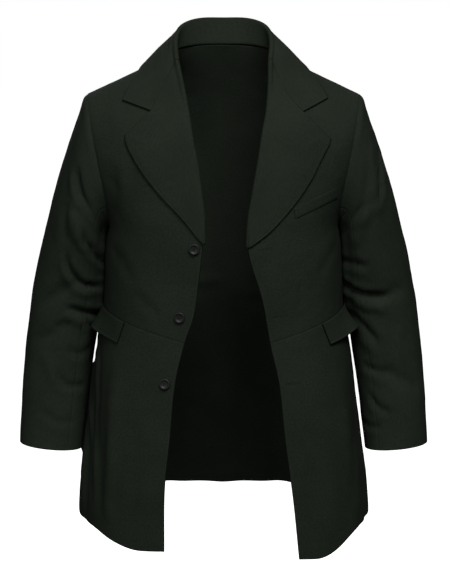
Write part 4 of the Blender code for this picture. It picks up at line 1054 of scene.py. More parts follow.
def row_on_front(tree, start, places, stands):
    """Points over a front at x and z places; those past its edge run on from start."""
    found = []
    for (x, z), stand in zip(places, stands):
        hit = on_front(tree, x, z)
        found.append(hit and hit[0] + hit[1] * stand)
    first = next(k for k, point in enumerate(found) if point)
    for k in range(first):
        found[k] = start.lerp(found[first], (k + 1) / (first + 1))
    return found


def gorge_places(side, corner):
    """x and z of steps along the gorge seam, and on from the notch to a corner."""
    knots = [k / (len(GORGE[side]) - 1) for k in range(len(GORGE[side]))]
    notch = GORGE[side][-1]
    places = [smooth(knots, GORGE[side], (k + 1) / GORGE_STEPS) for k in range(GORGE_STEPS)]
    for k in range(POINT_STEPS):
        share = (k + 1) / POINT_STEPS
        places.append([a + (b - a) * share for a, b in zip(notch, corner)])
    return [(x * SIDES[side], z) for x, z in places]


def roll_frame(side, z, tree):
    """A point of the roll line with its directions out over the front and off it."""
    roll = mirrored(on_edge(ROLL_LINE[side], z), side)
    spot, face = on_front(tree, roll.x + ROLL_REACH * SIDES[side], z)
    outward = (spot - face * (CLOTH / 2) - roll).normalized()
    run = mirrored(on_edge(ROLL_LINE[side], z - ROLL_RUN), side) - roll
    normal = run.cross(outward).normalized()
    if normal.y > 0:
        normal.negate()
    return roll, outward, normal


def rolled(centre, outward, normal, angles):
    """Points round a roll, from behind it (-90 degrees) to in front of it (90)."""
    points = []
    for angle in angles:
        turned = math.radians(angle)
        reach = normal * math.sin(turned) - outward * math.cos(turned)
        points.append(centre + reach * ROLL_RADIUS)
    return points


def rising_stands(shares):
    """Height over the front of a lapel's cloth, from the roll outwards."""
    low = ROLL_RADIUS - CLOTH / 2
    return [low + (LAPEL_STAND - low) * float(ease(share / STAND_REACH)) for share in shares]


def laid_under(tree, point):
    """The point, moved back where it would come too close to a front's inner face."""
    spot, normal, _, _ = tree.find_nearest(point)
    away = point - spot
    if away.cross(normal).length > EDGE_REACH or away.dot(normal) < -TUCK_DEPTH:
        return point
    return spot - normal * TUCK_DEPTH


def laid_on(tree, point, stand):
    """The point, moved out where it would lie closer to the cloth below than stand."""
    spot, normal, _, _ = tree.find_nearest(point)
    away = point - spot
    if away.cross(normal).length > EDGE_REACH:
        return point
    if away.dot(normal) < stand:
        return spot + normal * stand
    return point


def lapel_grid(side, tree):
    """A lapel: tucked behind the roll line, round it, and out over the forepart."""
    outline = LAPEL_OUTLINE[side]
    knots = [row.along for row in outline]
    steps = GORGE_STEPS + POINT_STEPS
    shares = [(k + 1) / steps for k in range(steps)]
    top = gorge_places(side, LAPEL_PEAK[side])
    head = mirrored(on_edge(ROLL_LINE[side], outline[0].roll_z), side)
    bow_x = [x - head.x - (top[-1][0] - head.x) * share for (x, _), share in zip(top, shares)]
    bow_z = [z - head.z - (top[-1][1] - head.z) * share for (_, z), share in zip(top, shares)]
    stands = rising_stands(shares)
    grid = []
    for row in range(LAPEL_STEPS + 1):
        along = (row / LAPEL_STEPS) ** LAPEL_CROWDING
        roll_z, edge_x, edge_z = smooth(knots, [line[1:] for line in outline], along)
        roll, outward, normal = roll_frame(side, roll_z, tree)
        bend = max(0.0, 1 - along / GORGE_REACH) ** 2
        places = []
        for k, share in enumerate(shares):
            x = roll.x + (edge_x * SIDES[side] - roll.x) * share + bow_x[k] * bend
            z = roll.z + (edge_z - roll.z) * share + bow_z[k] * bend
            places.append((x, z))
        line = row_on_front(tree, roll + normal * ROLL_RADIUS, places, stands)
        depth = TUCK_WIDTH * min(1.0, TUCK_AT_TOP + (along / GORGE_REACH) ** 2)
        turn = rolled(roll, outward, normal, ROLL_ANGLES)
        under = laid_under(tree, turn[0])
        tuck = laid_under(tree, turn[0] + outward * depth)
        hidden = [tuck.lerp(under, k / TUCK_STEPS) for k in range(TUCK_STEPS + 1)]
        grid.append(hidden + turn[1:] + line)
    return as_array(grid)


def collar_section(section, side):
    """Points across the collar at one section: stand, fold and fall."""
    seat, fold, edge = (mirrored(Vector(point), side) for point in section)
    rise = (fold - seat).normalized()
    outward = edge - fold
    outward = (outward - rise * outward.dot(rise)).normalized()
    turn = rolled(fold, outward, rise, FOLD_ANGLES)
    line = [seat.lerp(turn[0], k / STAND_STEPS) for k in range(STAND_STEPS)] + turn
    over = fold + outward * ROLL_RADIUS
    bulge = (edge - over).cross((edge - over).cross(rise)).normalized() * -FALL_BULGE
    steps = GORGE_STEPS + POINT_STEPS
    for k in range(1, steps + 1):
        share = k / steps
        line.append(over.lerp(edge, share) + bulge * math.sin(math.pi * share))
    return line


def collar_end(side, tree):
    """Points across the collar's front end, along the gorge and on to its tip."""
    places = gorge_places(side, COLLAR_TIP[side])
    steps = GORGE_STEPS + POINT_STEPS
    stands = rising_stands([(k + 1) / steps for k in range(steps)])
    roll, outward, normal = roll_frame(side, ROLL_LINE[side][0].z, tree)
    fall = row_on_front(tree, roll + normal * ROLL_RADIUS, places, stands)
    seat = mirrored(COLLAR_FRONT_SEAT, side)
    turn = rolled(roll, outward, normal, ROLL_ANGLES)
    return [seat.lerp(turn[0], k / STAND_STEPS) for k in range(STAND_STEPS)] + turn + fall


def collar_grid(fronts, tree):
    """The collar, from its end on the wearer's left round the neck to the right."""
    lines = [collar_end("left", fronts["left"])]
    lines += [collar_section(section, "left") for section in COLLAR_SECTIONS[::-1]]
    lines += [collar_section(section, "right") for section in COLLAR_SECTIONS[1:]]
    lines.append(collar_end("right", fronts["right"]))
    knots = [0.0]
    for before, after in zip(lines, lines[1:]):
        knots.append(knots[-1] + (after[COLLAR_CREST] - before[COLLAR_CREST]).length)
    grid = []
    for place in fine_places(0.0, 1.0, 1 / (COLLAR_STEPS * 2), knots[-1]):
        line = [Vector(smooth(knots, spots, knots[-1] * place)) for spots in zip(*lines)]
        if 0 < place < 1:
            fall = len(line) - GORGE_STEPS - POINT_STEPS
            line[fall:] = [laid_on(tree, point, COLLAR_STAND) for point in line[fall:]]
        grid.append(line)
    return evened(as_array(grid), COLLAR_ROUNDS)


def flap_grid(side, tree):
    """A pocket flap: its top on the waist seam, its lower edge off the skirt."""
    table = FLAPS[side]
    knots = [row.along for row in table]
    places = fine_places(0.0, 1.0, 1 / FLAP_STEPS, FLAP_SIZE[0])
    span = FLAP_END - FLAP_START[side]
    tops = front_level(side, WAIST_ROW, [FLAP_START[side] + span * place for place in places])
    drops = fine_places(0.0, 1.0, 1 / FLAP_ROWS, FLAP_SIZE[1])
    grid = [[] for _ in drops]
    for k, top in enumerate(tops):
        drop, slide, flare = smooth(knots, [row[1:] for row in table], places[k])
        spot, normal, _, _ = tree.find_nearest(top)
        run = (tops[min(k + 2, len(tops) - 1)] - tops[max(k - 2, 0)]).normalized()
        level = Vector((normal.x, normal.y, 0)).normalized()
        for r, share in enumerate(drops):
            point = spot + level * (FLAP_STAND + flare * share**FLAP_CURL)
            point += run * slide * share - Vector((0, 0, drop * share))
            grid[r].append(laid_on(tree, point, FLAP_STAND))
    return as_array(grid)


def welt_grid(tree):
    """The breast pocket's welt, on the wearer's left forepart."""
    grid = []
    for r in fine_places(0.0, 1.0, 1 / WELT_ROWS, WELT_SIZE[1]):
        line = []
        for across in fine_places(0.0, 1.0, 1 / WELT_STEPS, WELT_SIZE[0]):
            top = [a + (b - a) * across for a, b in zip(*WELT_TOP)]
            bottom = [a + (b - a) * across for a, b in zip(*WELT_BOTTOM)]
            x, z = (a + (b - a) * r for a, b in zip(top, bottom))
            spot, normal = on_front(tree, x, z)
            line.append(spot + normal * WELT_STAND)
        grid.append(line)
    return as_array(grid)


def edge_kind(panel, border):
    """What an edge is, and where along it that holds, from 0 to 1 at each point."""
    kind = panel.edges[border]
    rows, columns = panel.points.shape[:2]
    if isinstance(kind, str):
        return kind, np.ones((rows, columns))
    kind, start = kind
    along = np.linspace(0.0, 1.0, columns)[None, :] + np.zeros((rows, 1))
    return kind, ease((along - start) / FREE_EDGE_RISE)


def edge_relief(panel):
    """How far seams, edge stitching and hems lift or sink a panel's outer face."""
    distances = edge_distances(panel.points)
    relief = np.zeros(panel.points.shape[:2])
    for border in BORDERS:
        away = distances[border]
        kind, holds = edge_kind(panel, border)
        if kind == "seam":
            relief -= SEAM_DIP * bell(away, 0.0, SEAM_REACH)
        if kind == "stitched":
            relief += RIM_RISE * bell(away, RIM_PLACE, RIM_REACH) * holds
            relief -= STITCH_DIP * bell(away, STITCH_LINE, STITCH_REACH) * holds
        if kind == "hem":
            relief -= HEM_DIP * bell(away, HEM_LINE, HEM_REACH)
    return relief


def wear_and_shade_distance(panel):
    """Distance from the nearest free edge, where the cloth is rubbed paler and a dark line of painted
    shade is drawn.
    """
    distances = edge_distances(panel.points)
    least = np.full(panel.points.shape[:2], 1.0)
    for border in BORDERS:
        kind, holds = edge_kind(panel, border)
        if kind in ("stitched", "plain", "hem"):
            least = np.minimum(least, distances[border] + (1 - holds))
    return least


def half_thickness(panel, thickness):
    """Half the cloth's thickness, rounded off towards the panel's edges."""
    radius = thickness / 2
    half = np.full(panel.points.shape[:2], radius)
    for border, away in edge_distances(panel.points).items():
        least = SEAM_HALF if panel.edges[border] == "seam" else EDGE_HALF
        share = 1 - np.clip(away / radius, 0.0, 1.0)
        half = np.minimum(half, np.maximum(min(least, radius), radius * np.sqrt(1 - share * share)))
    return half


def trimmed(points, trim):
    """The grid with its four edges drawn in by the trim."""
    moved = points.copy()
    for index, inner in (((0,), (1,)), ((-1,), (-2,))):
        moved[index] += unit(points[inner] - points[index]) * trim
    for index, inner in ((0, 1), (-1, -2)):
        moved[:, index] += unit(points[:, inner] - points[:, index]) * trim
    return moved


def drawn_wall(name, panel, material, thickness=SHELL, trim=SEAM_GAP / 2):
    """A cloth wall about a panel's grid, with its relief, its UV map, and its distance from free edges
    for the edge wear and the painted edge shade.
    """
    rows, columns = panel.points.shape[:2]
    bm = bmesh.new()
    bmesh.ops.create_grid(bm, x_segments=columns - 1, y_segments=rows - 1, size=1)
    place = bm.verts.layers.int.new("place")
    inside = bm.verts.layers.int.new("inside")
    for k, vertex in enumerate(bm.verts):
        vertex[place] = k
    extruded = bmesh.ops.extrude_face_region(bm, geom=bm.faces[:])
    for item in extruded["geom"]:
        if isinstance(item, bmesh.types.BMVert):
            item[inside] = 1
    mesh = bpy.data.meshes.new(name)
    bm.to_mesh(mesh)
    bm.free()
    count = len(mesh.vertices)
    places = np.zeros(count, np.int32)
    insides = np.zeros(count, np.int32)
    mesh.attributes["place"].data.foreach_get("value", places)
    mesh.attributes["inside"].data.foreach_get("value", insides)
    half = half_thickness(panel, thickness)
    middle = trimmed(panel.points, trim)
    outer = middle + panel.normals * (half + edge_relief(panel))[..., None]
    inner = middle - panel.normals * half[..., None]
    spots = np.where(insides[:, None] == 1, inner.reshape(-1, 3)[places], outer.reshape(-1, 3)[places])
    mesh.vertices.foreach_set("co", spots.astype(np.float32).ravel())
    distances = edge_distances(panel.points)
    across = distances["first"] - distances["first"][:, columns // 2][:, None]
    flat = np.stack([across, -distances["top"]], axis=-1).reshape(-1, 2)
    corners = np.zeros(len(mesh.loops), np.int32)
    mesh.loops.foreach_get("vertex_index", corners)
    uv = mesh.uv_layers.new(name="cloth")
    uv.data.foreach_set("uv", flat[places[corners]].astype(np.float32).ravel())
    # Distance from free edges, read by the material for the rubbed wear and for the painted shade line
    edge_wear_and_shade = mesh.attributes.new("edge_distance", "FLOAT", "POINT")
    edge_wear_and_shade.data.foreach_set("value", wear_and_shade_distance(panel).reshape(-1)[places].astype(np.float32))
    mesh.attributes.remove(mesh.attributes["place"])
    mesh.attributes.remove(mesh.attributes["inside"])
    bm = bmesh.new()
    bm.from_mesh(mesh)
    bmesh.ops.recalc_face_normals(bm, faces=bm.faces)
    bm.to_mesh(mesh)
    bm.free()
    mesh.shade_smooth()
    thing = bpy.data.objects.new(name, mesh)
    bpy.context.scene.collection.objects.link(thing)
    mesh.materials.append(material)
    return thing


def line_at(panel, border, distance, thickness=SHELL):
    """Points and normals of a panel's outer face along one edge, a distance inside it."""
    away = edge_distances(panel.points)[border]
    face = panel.points + panel.normals * (thickness / 2 + edge_relief(panel))[..., None]
    if border in ("top", "bottom"):
        away = away.T
        face = face.transpose(1, 0, 2)
        normals = panel.normals.transpose(1, 0, 2)
    else:
        normals = panel.normals
    if border in ("bottom", "last"):
        away = away[:, ::-1]
        face = face[:, ::-1]
        normals = normals[:, ::-1]
    spots = []
    leans = []
    for line, place, normal in zip(away, face, normals):
        if line[-1] < distance:
            continue
        spots.append([np.interp(distance, line, place[:, axis]) for axis in range(3)])
        leans.append([np.interp(distance, line, normal[:, axis]) for axis in range(3)])
    return np.array(spots), unit(np.array(leans))


def stitch_places(spots, leans, spacing):
    """Evenly spaced places along a line of points, with their run and normal."""
    lengths = np.linalg.norm(np.diff(spots, axis=0), axis=-1)
    done = np.concatenate([[0.0], np.cumsum(lengths)])
    count = int(done[-1] / spacing)
    at = (np.arange(count) + 0.5) * spacing
    places = np.stack([np.interp(at, done, spots[:, axis]) for axis in range(3)], axis=-1)
    ahead = np.stack([np.interp(at + spacing / 4, done, spots[:, axis]) for axis in range(3)], axis=-1)
    normals = unit(np.stack([np.interp(at, done, leans[:, axis]) for axis in range(3)], axis=-1))
    return places, unit(ahead - places), normals


def laid_matrix(place, run, normal, scale):
    """A placement with local X along the run and local Z along the normal."""
    x = Vector(run).normalized()
    z = Vector(normal)
    z = (z - x * z.dot(x)).normalized()
    y = z.cross(x)
    turned = Matrix((x, y, z)).transposed().to_4x4()
    return Matrix.Translation(Vector(place)) @ turned @ Matrix.Diagonal((*scale, 1.0))


def add_stitches(bm, places, runs, normals):
    """Short threads that lie half sunk in the cloth."""
    scale = (STITCH_LENGTH / 2, THREAD_RADIUS, THREAD_RADIUS * THREAD_FLATNESS)
    for place, run, normal in zip(places, runs, normals):
        bmesh.ops.create_uvsphere(
            bm, u_segments=6, v_segments=4, radius=1.0, matrix=laid_matrix(place, run, normal, scale)
        )


def thread_object(name, bm, material):
    """Finish a bmesh of threads as one object."""
    bmesh.ops.recalc_face_normals(bm, faces=bm.faces)
    mesh = bpy.data.meshes.new(name)
    bm.to_mesh(mesh)
    bm.free()
    mesh.shade_smooth()
    thing = bpy.data.objects.new(name, mesh)
    bpy.context.scene.collection.objects.link(thing)
    mesh.materials.append(material)
    return thing


# Edges that are topstitched: the panel, the edge, and the shares of it that are sewn
EDGE_STITCHING = {
    "forepart_left": [("first", 0.62, 1.0)],
    "forepart_right": [("first", 0.62, 1.0)],
    "skirt_left": [("first", 0.0, 1.0)],
    "skirt_right": [("first", 0.0, 1.0)],
    "lapel_left": [("last", 0.03, 1.0), ("top", 0.62, 0.97)],
    "lapel_right": [("last", 0.03, 1.0), ("top", 0.62, 0.97)],
    "collar": [("last", 0.012, 0.988)],
    "flap_left": [("bottom", 0.04, 0.96), ("first", 0.0, 0.88), ("last", 0.0, 0.86)],
    "flap_right": [("bottom", 0.04, 0.96), ("first", 0.0, 0.88), ("last", 0.0, 0.86)],
    "breast_welt": [("top", 0.0, 1.0)],
}


def edge_stitching(name, panel, material):
    """The topstitching of one piece, as one object of many short threads."""
    bm = bmesh.new()
    for border, start, end in EDGE_STITCHING[name]:
        spots, leans = line_at(panel, border, STITCH_LINE)
        low = int(len(spots) * start)
        high = max(low + 2, int(len(spots) * end))
        places, runs, normals = stitch_places(spots[low:high], leans[low:high], STITCH_SPACING)
        add_stitches(bm, places, runs, normals)
    return thread_object(f"stitching_{name}", bm, material)


def buttonhole(name, ends, tree, material):
    """A worked buttonhole: close stitches round a slit."""
    (start_x, start_z), (end_x, end_z) = ends
    bm = bmesh.new()
    start = Vector(on_front(tree, start_x, start_z)[0])
    end = Vector(on_front(tree, end_x, end_z)[0])
    run = (end - start).normalized()
    for k in range(HOLE_STITCHES):
        turn = math.tau * k / HOLE_STITCHES
        along = 0.5 - 0.5 * math.cos(turn)
        off = math.sin(turn)
        round_off = math.copysign(min(1.0, abs(off) * HOLE_ROW_STRETCH), off) * HOLE_WIDTH / 3
        spot = start.lerp(end, along)
        hit, normal = on_front(tree, spot.x, spot.z + round_off)
        across = normal.cross(run)
        if abs(off) < HOLE_END:
            across = run * math.cos(turn) + across * HOLE_FAN
        matrix = laid_matrix(hit + normal * HOLE_STITCH_RISE, across, normal, HOLE_STITCH)
        bmesh.ops.create_uvsphere(bm, u_segments=6, v_segments=4, radius=1.0, matrix=matrix)
    return thread_object(name, bm, material)


# Share of the radius and of the thickness, from the centre of the face round to the base
BUTTON_PROFILE = [
    (0.00, 0.56), (0.30, 0.56), (0.50, 0.60), (0.60, 0.70), (0.68, 0.88), (0.76, 0.98),
    (0.85, 1.00), (0.93, 0.92), (0.98, 0.74), (1.00, 0.52), (0.97, 0.30), (0.86, 0.10),
    (0.70, 0.00), (0.00, 0.00),
]
BUTTON_SIDES = 64
BUTTON_FACE = BUTTON_PROFILE[0][1]
BUTTON_HOLE_PLACE = 0.0021
BUTTON_HOLE_RADIUS = 0.0009
# Half sizes of the threads that cross the face, and how far apart and above it they lie
SEWING_THREAD = (BUTTON_HOLE_PLACE * 1.15, 0.00028, 0.0005)
SEWING_SPACING = 0.0003


def button_disc(name):
    """A dished disc with a raised rim, still without its holes."""
    bm = bmesh.new()
    radius = BUTTON_DIAMETER / 2
    profile = [
        bm.verts.new((out * radius, 0, BUTTON_GAP + up * BUTTON_THICKNESS))
        for out, up in BUTTON_PROFILE
    ]
    edges = [bm.edges.new(pair) for pair in zip(profile, profile[1:])]
    bmesh.ops.spin(
        bm, geom=profile + edges, cent=(0, 0, 0), axis=(0, 0, 1), angle=math.tau,
        steps=BUTTON_SIDES, use_merge=True,
    )
    bmesh.ops.remove_doubles(bm, verts=bm.verts, dist=0.00001)
    bmesh.ops.recalc_face_normals(bm, faces=bm.faces)
    disc = bpy.data.meshes.new(name)
    bm.to_mesh(disc)
    bm.free()
    body = bpy.data.objects.new(name, disc)
    bpy.context.scene.collection.objects.link(body)
    return body


def drilled(body):
    """The mesh of a disc with four holes for its thread. The disc itself goes."""
    bm = bmesh.new()
    for k in range(4):
        turn = math.radians(45 + 90 * k)
        centre = Matrix.Translation((
            BUTTON_HOLE_PLACE * math.cos(turn), BUTTON_HOLE_PLACE * math.sin(turn), BUTTON_THICKNESS / 2
        ))
        bmesh.ops.create_cone(
            bm, cap_ends=True, segments=14, radius1=BUTTON_HOLE_RADIUS, radius2=BUTTON_HOLE_RADIUS,
            depth=BUTTON_THICKNESS * 3, matrix=centre,
        )
    drill_mesh = bpy.data.meshes.new("drill")
    bm.to_mesh(drill_mesh)
    bm.free()
    drill = bpy.data.objects.new("drill", drill_mesh)
    bpy.context.scene.collection.objects.link(drill)
    cut = body.modifiers.new("holes", "BOOLEAN")
    cut.operation = "DIFFERENCE"
    cut.solver = "EXACT"
    cut.object = drill
    shown = body.evaluated_get(bpy.context.evaluated_depsgraph_get())
    disc = bpy.data.meshes.new_from_object(shown)
    bpy.data.objects.remove(body)
    bpy.data.objects.remove(drill)
    return disc


def button_sewing(name, seat, thread):
    """Threads that cross a button's face, from hole to hole."""
    bm = bmesh.new()
    lowest = BUTTON_GAP + BUTTON_THICKNESS * BUTTON_FACE + SEWING_SPACING
    for k in range(2):
        turn = math.radians(45 + 90 * k)
        run = Vector((math.cos(turn), math.sin(turn), 0))
        side = Vector((-math.sin(turn), math.cos(turn), 0))
        for shift in (-SEWING_SPACING, 0.0, SEWING_SPACING):
            centre = side * shift + Vector((0, 0, lowest + SEWING_SPACING * k))
            matrix = seat @ laid_matrix(centre, run, (0, 0, 1), SEWING_THREAD)
            bmesh.ops.create_uvsphere(bm, u_segments=10, v_segments=6, radius=1.0, matrix=matrix)
    return thread_object(name + "_thread", bm, thread)


def button(name, place, tree, horn, thread):
    """A dished four hole button with a raised rim, sewn flat against the front."""
    spot, normal = on_front(tree, *place)
    seat = Matrix.Translation(spot) @ normal.to_track_quat("Z", "Y").to_matrix().to_4x4()
    disc = drilled(button_disc(name))
    disc.transform(seat)
    disc.shade_smooth()
    disc.set_sharp_from_angle(angle=math.radians(50))
    disc.materials.clear()
    disc.materials.append(horn)
    thing = bpy.data.objects.new(name + "_horn", disc)
    bpy.context.scene.collection.objects.link(thing)
    return thing, button_sewing(name, seat, thread)


def add_node(tree, kind, settings=None, inputs=None):
    """Add a node, give it its settings, and set or link its inputs."""
    node = tree.nodes.new(kind)
    for name, value in (settings or {}).items():
        setattr(node, name, value)
    for name, value in (inputs or {}).items():
        if isinstance(value, bpy.types.NodeSocket):
            tree.links.new(value, node.inputs[name])
        else:
            node.inputs[name].default_value = value
    return node


def new_material(name):
    """A material with an empty Principled shader, and its tree and shader."""
    material = bpy.data.materials.new(name)
    material.use_nodes = True
    tree = material.node_tree
    return material, tree, tree.nodes["Principled BSDF"]


# A real twill of this weight has a rib each 0.9 mm, which is half a pixel here. The rib
# is drawn 2.2 mm wide so that it can just be seen.
TWILL_RIB = 0.0022
TWILL_ANGLE = 62.0


def cotton_twill():
    """Cotton twill, woven and pressed: matt, faintly ribbed, rubbed paler at its edges, with painted
    shade as a dark line at the very edges.
    """
    material, tree, shader = new_material("black cotton twill")
    uv = add_node(tree, "ShaderNodeUVMap", {"uv_map": "cloth"})
    place = add_node(tree, "ShaderNodeTexCoord")
    turned = add_node(tree, "ShaderNodeMapping", None, {
        "Vector": uv.outputs["UV"], "Rotation": (0.0, 0.0, math.radians(TWILL_ANGLE)),
    })
    axes = add_node(tree, "ShaderNodeSeparateXYZ", None, {"Vector": turned.outputs["Vector"]})
    wander = add_node(tree, "ShaderNodeTexNoise", None, {
        "Vector": uv.outputs["UV"], "Scale": 1 / 0.006, "Detail": 2.0,
    })
    count = add_node(tree, "ShaderNodeMath", {"operation": "MULTIPLY"}, {
        0: axes.outputs["X"], 1: math.tau / TWILL_RIB,
    })
    drift = add_node(tree, "ShaderNodeMath", {"operation": "MULTIPLY_ADD"}, {
        0: wander.outputs["Fac"], 1: 2.6, 2: count.outputs[0],
    })
    rib = add_node(tree, "ShaderNodeMath", {"operation": "SINE"}, {0: drift.outputs[0]})
    rib_share = add_node(tree, "ShaderNodeMapRange", None, {
        "Value": rib.outputs[0], "From Min": -1.0, "From Max": 1.0,
    })
    slubs = add_node(tree, "ShaderNodeTexNoise", None, {
        "Vector": uv.outputs["UV"], "Scale": 1 / 0.0035, "Detail": 3.0, "Roughness": 0.6,
    })
    fade = add_node(tree, "ShaderNodeTexNoise", None, {
        "Vector": place.outputs["Object"], "Scale": 1 / 0.060, "Detail": 3.0,
    })
    base = add_node(tree, "ShaderNodeMix", {"data_type": "RGBA"}, {
        0: fade.outputs["Fac"], 6: linear("#1c221b"), 7: linear("#262c24"),
    })
    ribbed = add_node(tree, "ShaderNodeMix", {"data_type": "RGBA", "blend_type": "MULTIPLY"}, {
        0: 0.16, 6: base.outputs[2], 7: rib_share.outputs[0],
    })
    speckle = add_node(tree, "ShaderNodeMapRange", None, {
        "Value": slubs.outputs["Fac"], "From Min": 0.3, "From Max": 0.75, "To Min": 0.75, "To Max": 1.3,
    })
    mottled = add_node(tree, "ShaderNodeMix", {"data_type": "RGBA", "blend_type": "MULTIPLY"}, {
        0: 1.0, 6: ribbed.outputs[2], 7: speckle.outputs[0],
    })
    distance = add_node(tree, "ShaderNodeAttribute", {"attribute_name": "edge_distance"})
    rubbed = add_node(tree, "ShaderNodeMapRange", {"interpolation_type": "SMOOTHSTEP"}, {
        "Value": distance.outputs["Fac"],
        "From Min": 0.0042, "From Max": 0.0006, "To Min": 0.0, "To Max": 0.10,
    })
    patchy = add_node(tree, "ShaderNodeMath", {"operation": "MULTIPLY"}, {
        0: rubbed.outputs[0], 1: speckle.outputs[0],
    })
    coloured = add_node(tree, "ShaderNodeMix", {"data_type": "RGBA"}, {
        0: patchy.outputs[0], 6: mottled.outputs[2], 7: linear("#343b33"),
    })
    # Painted shade: a dark line at the very edge stands in for the shadow that a standing edge casts
    painted_edge_shade = add_node(tree, "ShaderNodeMapRange", None, {
        "Value": distance.outputs["Fac"],
        "From Min": 0.0007, "From Max": 0.0018, "To Min": 0.25, "To Max": 1.0,
    })
    edged = add_node(tree, "ShaderNodeMix", {"data_type": "RGBA", "blend_type": "MULTIPLY"}, {
        0: 1.0, 6: coloured.outputs[2], 7: painted_edge_shade.outputs[0],
    })
    tree.links.new(edged.outputs[2], shader.inputs["Base Color"])
    relief = add_node(tree, "ShaderNodeMath", {"operation": "MULTIPLY_ADD"}, {
        0: slubs.outputs["Fac"], 1: 0.8, 2: rib_share.outputs[0],
    })
    bump = add_node(tree, "ShaderNodeBump", None, {
        "Height": relief.outputs[0], "Strength": 0.22, "Distance": 0.00020,
    })
    tree.links.new(bump.outputs["Normal"], shader.inputs["Normal"])
    shader.inputs["Roughness"].default_value = 0.85
    shader.inputs["Specular IOR Level"].default_value = 0.06
    return material


def cotton_thread():
    """Spun cotton sewing thread, black and faintly lustrous, twisted each millimetre."""
    material, tree, shader = new_material("black sewing thread")
    place = add_node(tree, "ShaderNodeTexCoord")
    fuzz = add_node(tree, "ShaderNodeTexNoise", None, {
        "Vector": place.outputs["Object"], "Scale": 1 / 0.0010, "Detail": 2.0,
    })
    colour = add_node(tree, "ShaderNodeMix", {"data_type": "RGBA"}, {
        0: fuzz.outputs["Fac"], 6: linear("#141814"), 7: linear("#262b25"),
    })
    tree.links.new(colour.outputs[2], shader.inputs["Base Color"])
    shader.inputs["Roughness"].default_value = 0.7
    shader.inputs["Specular IOR Level"].default_value = 0.15
    return material


def polished_horn():
    """Dark polished horn: glossy, with faint lengthwise streaks of a paler grey."""
    material, tree, shader = new_material("dark polished horn")
    place = add_node(tree, "ShaderNodeTexCoord")
    stretched = add_node(tree, "ShaderNodeMapping", None, {
        "Vector": place.outputs["Object"], "Scale": (1.0, 1.0, 0.25), "Rotation": (0.0, 0.5, 0.0),
    })
    streaks = add_node(tree, "ShaderNodeTexNoise", None, {
        "Vector": stretched.outputs["Vector"], "Scale": 1 / 0.0025, "Detail": 4.0, "Distortion": 0.8,
    })
    colour = add_node(tree, "ShaderNodeMix", {"data_type": "RGBA"}, {
        0: streaks.outputs["Fac"], 6: linear("#101210"), 7: linear("#222522"),
    })
    tree.links.new(colour.outputs[2], shader.inputs["Base Color"])
    scuffs = add_node(tree, "ShaderNodeMapRange", None, {
        "Value": streaks.outputs["Fac"], "To Min": 0.38, "To Max": 0.52,
    })
    tree.links.new(scuffs.outputs[0], shader.inputs["Roughness"])
    shader.inputs["Specular IOR Level"].default_value = 0.22
    return material


def studio_paper():
    """Matt white paper for the floor, lit from behind until it is plain white."""
    material, tree, shader = new_material("white studio paper")
    shader.inputs["Base Color"].default_value = linear("#fbfbfb")
    shader.inputs["Roughness"].default_value = 0.9
    shader.inputs["Emission Color"].default_value = linear("#ffffff")
    shader.inputs["Emission Strength"].default_value = 1.0
    return material


def add_studio():
    """Pale floor, white surroundings and large soft lights."""
    bm = bmesh.new()
    bmesh.ops.create_grid(bm, x_segments=1, y_segments=1, size=FLOOR_REACH)
    bmesh.ops.translate(bm, verts=bm.verts, vec=(0, 0, FLOOR_Z))
    mesh = bpy.data.meshes.new("floor")
    bm.to_mesh(mesh)
    bm.free()
    mesh.materials.append(studio_paper())
    floor = bpy.data.objects.new("floor", mesh)
    bpy.context.scene.collection.objects.link(floor)
    floor.visible_diffuse = False
    floor.visible_glossy = False
    world = bpy.data.worlds.new("white surroundings")
    bpy.context.scene.world = world
    world.use_nodes = True
    tree = world.node_tree
    seen = tree.nodes["Background"]
    seen.inputs["Color"].default_value = (1, 1, 1, 1)
    seen.inputs["Strength"].default_value = 1.0
    dim = add_node(tree, "ShaderNodeBackground", None, {"Color": (1, 1, 1, 1), "Strength": SURROUND})
    ray = add_node(tree, "ShaderNodeLightPath")
    both = add_node(tree, "ShaderNodeMixShader", None, {
        0: ray.outputs["Is Camera Ray"], 1: dim.outputs[0], 2: seen.outputs[0],
    })
    tree.links.new(both.outputs[0], tree.nodes["World Output"].inputs["Surface"])
    for name, spot, power, size in LIGHTS:
        lamp = bpy.data.lights.new(name, "AREA")
        lamp.energy = power
        lamp.size = size
        thing = bpy.data.objects.new(name, lamp)
        thing.location = spot
        aim = LIGHT_AIM - Vector(spot)
        thing.rotation_euler = aim.to_track_quat("-Z", "Y").to_euler()
        bpy.context.scene.collection.objects.link(thing)


def add_camera():
    """A long lens straight in front, pitched down a little."""
    lens = bpy.data.cameras.new("camera")
    lens.sensor_width = SENSOR
    lens.lens = FOCAL_PIXELS / FRAME_HEIGHT * SENSOR
    camera = bpy.data.objects.new("camera", lens)
    camera.location = CAMERA_PLACE
    camera.rotation_euler = (math.radians(90 - CAMERA_PITCH), 0, 0)
    bpy.context.scene.collection.objects.link(camera)
    bpy.context.scene.camera = camera


# Width and length that each piece was cut to, and its flat area where it isn't a rectangle
Cut = namedtuple("Cut", "width length area")


def declare(piece, node):
    """Attach a cloth piece to the root body, and hide the form's part of the same node."""
    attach(piece, "root")
    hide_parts(node)


def turned_panels(fronts, shoulders):
    """The lapels and the collar, laid over the fronts and the shoulders."""
    turned = {}
    for side, sign in SIDES.items():
        edges = {
            "top": ("stitched", NOTCH_SHARE), "bottom": "seam",
            "first": "tucked", "last": "stitched",
        }
        turned[f"lapel_{side}"] = Panel("turned", lapel_grid(side, fronts[side]), sign, edges)
    edges = {
        "top": ("plain", NOTCH_SHARE), "bottom": ("plain", NOTCH_SHARE),
        "first": "seam", "last": "stitched",
    }
    turned["collar"] = Panel("turned", collar_grid(fronts, shoulders), -1.0, edges)
    share_seam_normals(turned)
    return turned


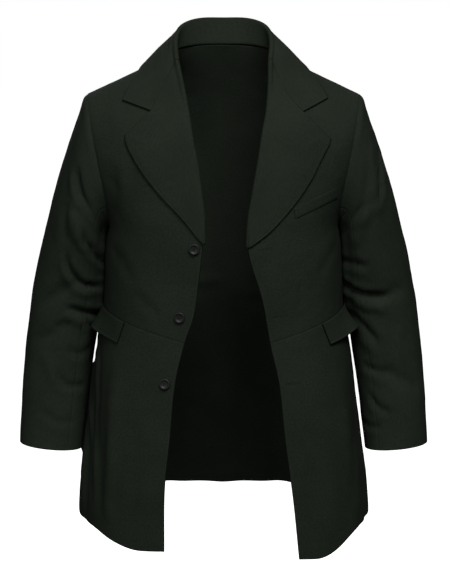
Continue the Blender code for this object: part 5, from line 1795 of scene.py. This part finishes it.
def laid_panels(fronts, hips):
    """The pocket flaps and the breast welt, which lie on the fronts."""
    laid = {}
    for side, sign in SIDES.items():
        edges = {"top": "seam", "bottom": "stitched", "first": "stitched", "last": "stitched"}
        laid[f"flap_{side}"] = Panel("laid", flap_grid(side, hips[side]), sign, edges)
    edges = {"top": "folded", "bottom": "seam", "first": "seam", "last": "seam"}
    laid["breast_welt"] = Panel("laid", welt_grid(fronts["left"]), 1.0, edges)
    return laid


def sewn_parts(name, panel, tree, thread):
    """The stitching and the buttonholes of a cloth piece."""
    sewn = []
    if name in EDGE_STITCHING:
        sewn.append(edge_stitching(name, panel, thread))
    for number in HOLES_IN.get(name, ()):
        ends = BUTTONHOLES[number - 1]
        sewn.append(buttonhole(f"buttonhole_{number}", ends, tree, thread))
    for part in sewn:
        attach(part, "root")
    return sewn


def add_button(name, place, tree, horn, thread):
    """A button with its sewing, each attached to the root body, and the form's button hidden."""
    disc, sewing = button(name, place, tree, horn, thread)
    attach(disc, "root")
    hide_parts(name)
    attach(sewing, "root")


def main():
    add_camera()
    add_studio()
    twill = cotton_twill()
    thread = cotton_thread()
    horn = polished_horn()
    panels = body_panels()
    shape_folds(panels)
    fronts = {side: outer_surface([panels[f"forepart_{side}"]]) for side in SIDES}
    hips = {
        side: outer_surface([panels[f"forepart_{side}"], panels[f"skirt_{side}"]]) for side in SIDES
    }
    shoulders = outer_surface([panels["forepart_left"], panels["forepart_right"], panels["back"]])
    turned = turned_panels(fronts, shoulders)
    laid = laid_panels(fronts, hips)
    for group, trim in ((panels, SEAM_GAP / 2), (turned, GORGE_GAP / 2), (laid, SEAM_GAP / 2)):
        for name, panel in group.items():
            thickness = WELT_CLOTH if name == "breast_welt" else SHELL
            piece = drawn_wall(f"{name}_cloth", panel, twill, thickness, trim)
            sewn = sewn_parts(name, panel, hips["left"], thread)
            declare(piece, name)
    for name, place in BUTTON_PLACES.items():
        add_button(name, place, hips["right"], horn, thread)
    bpy.context.scene.view_settings.view_transform = "Standard"


main()
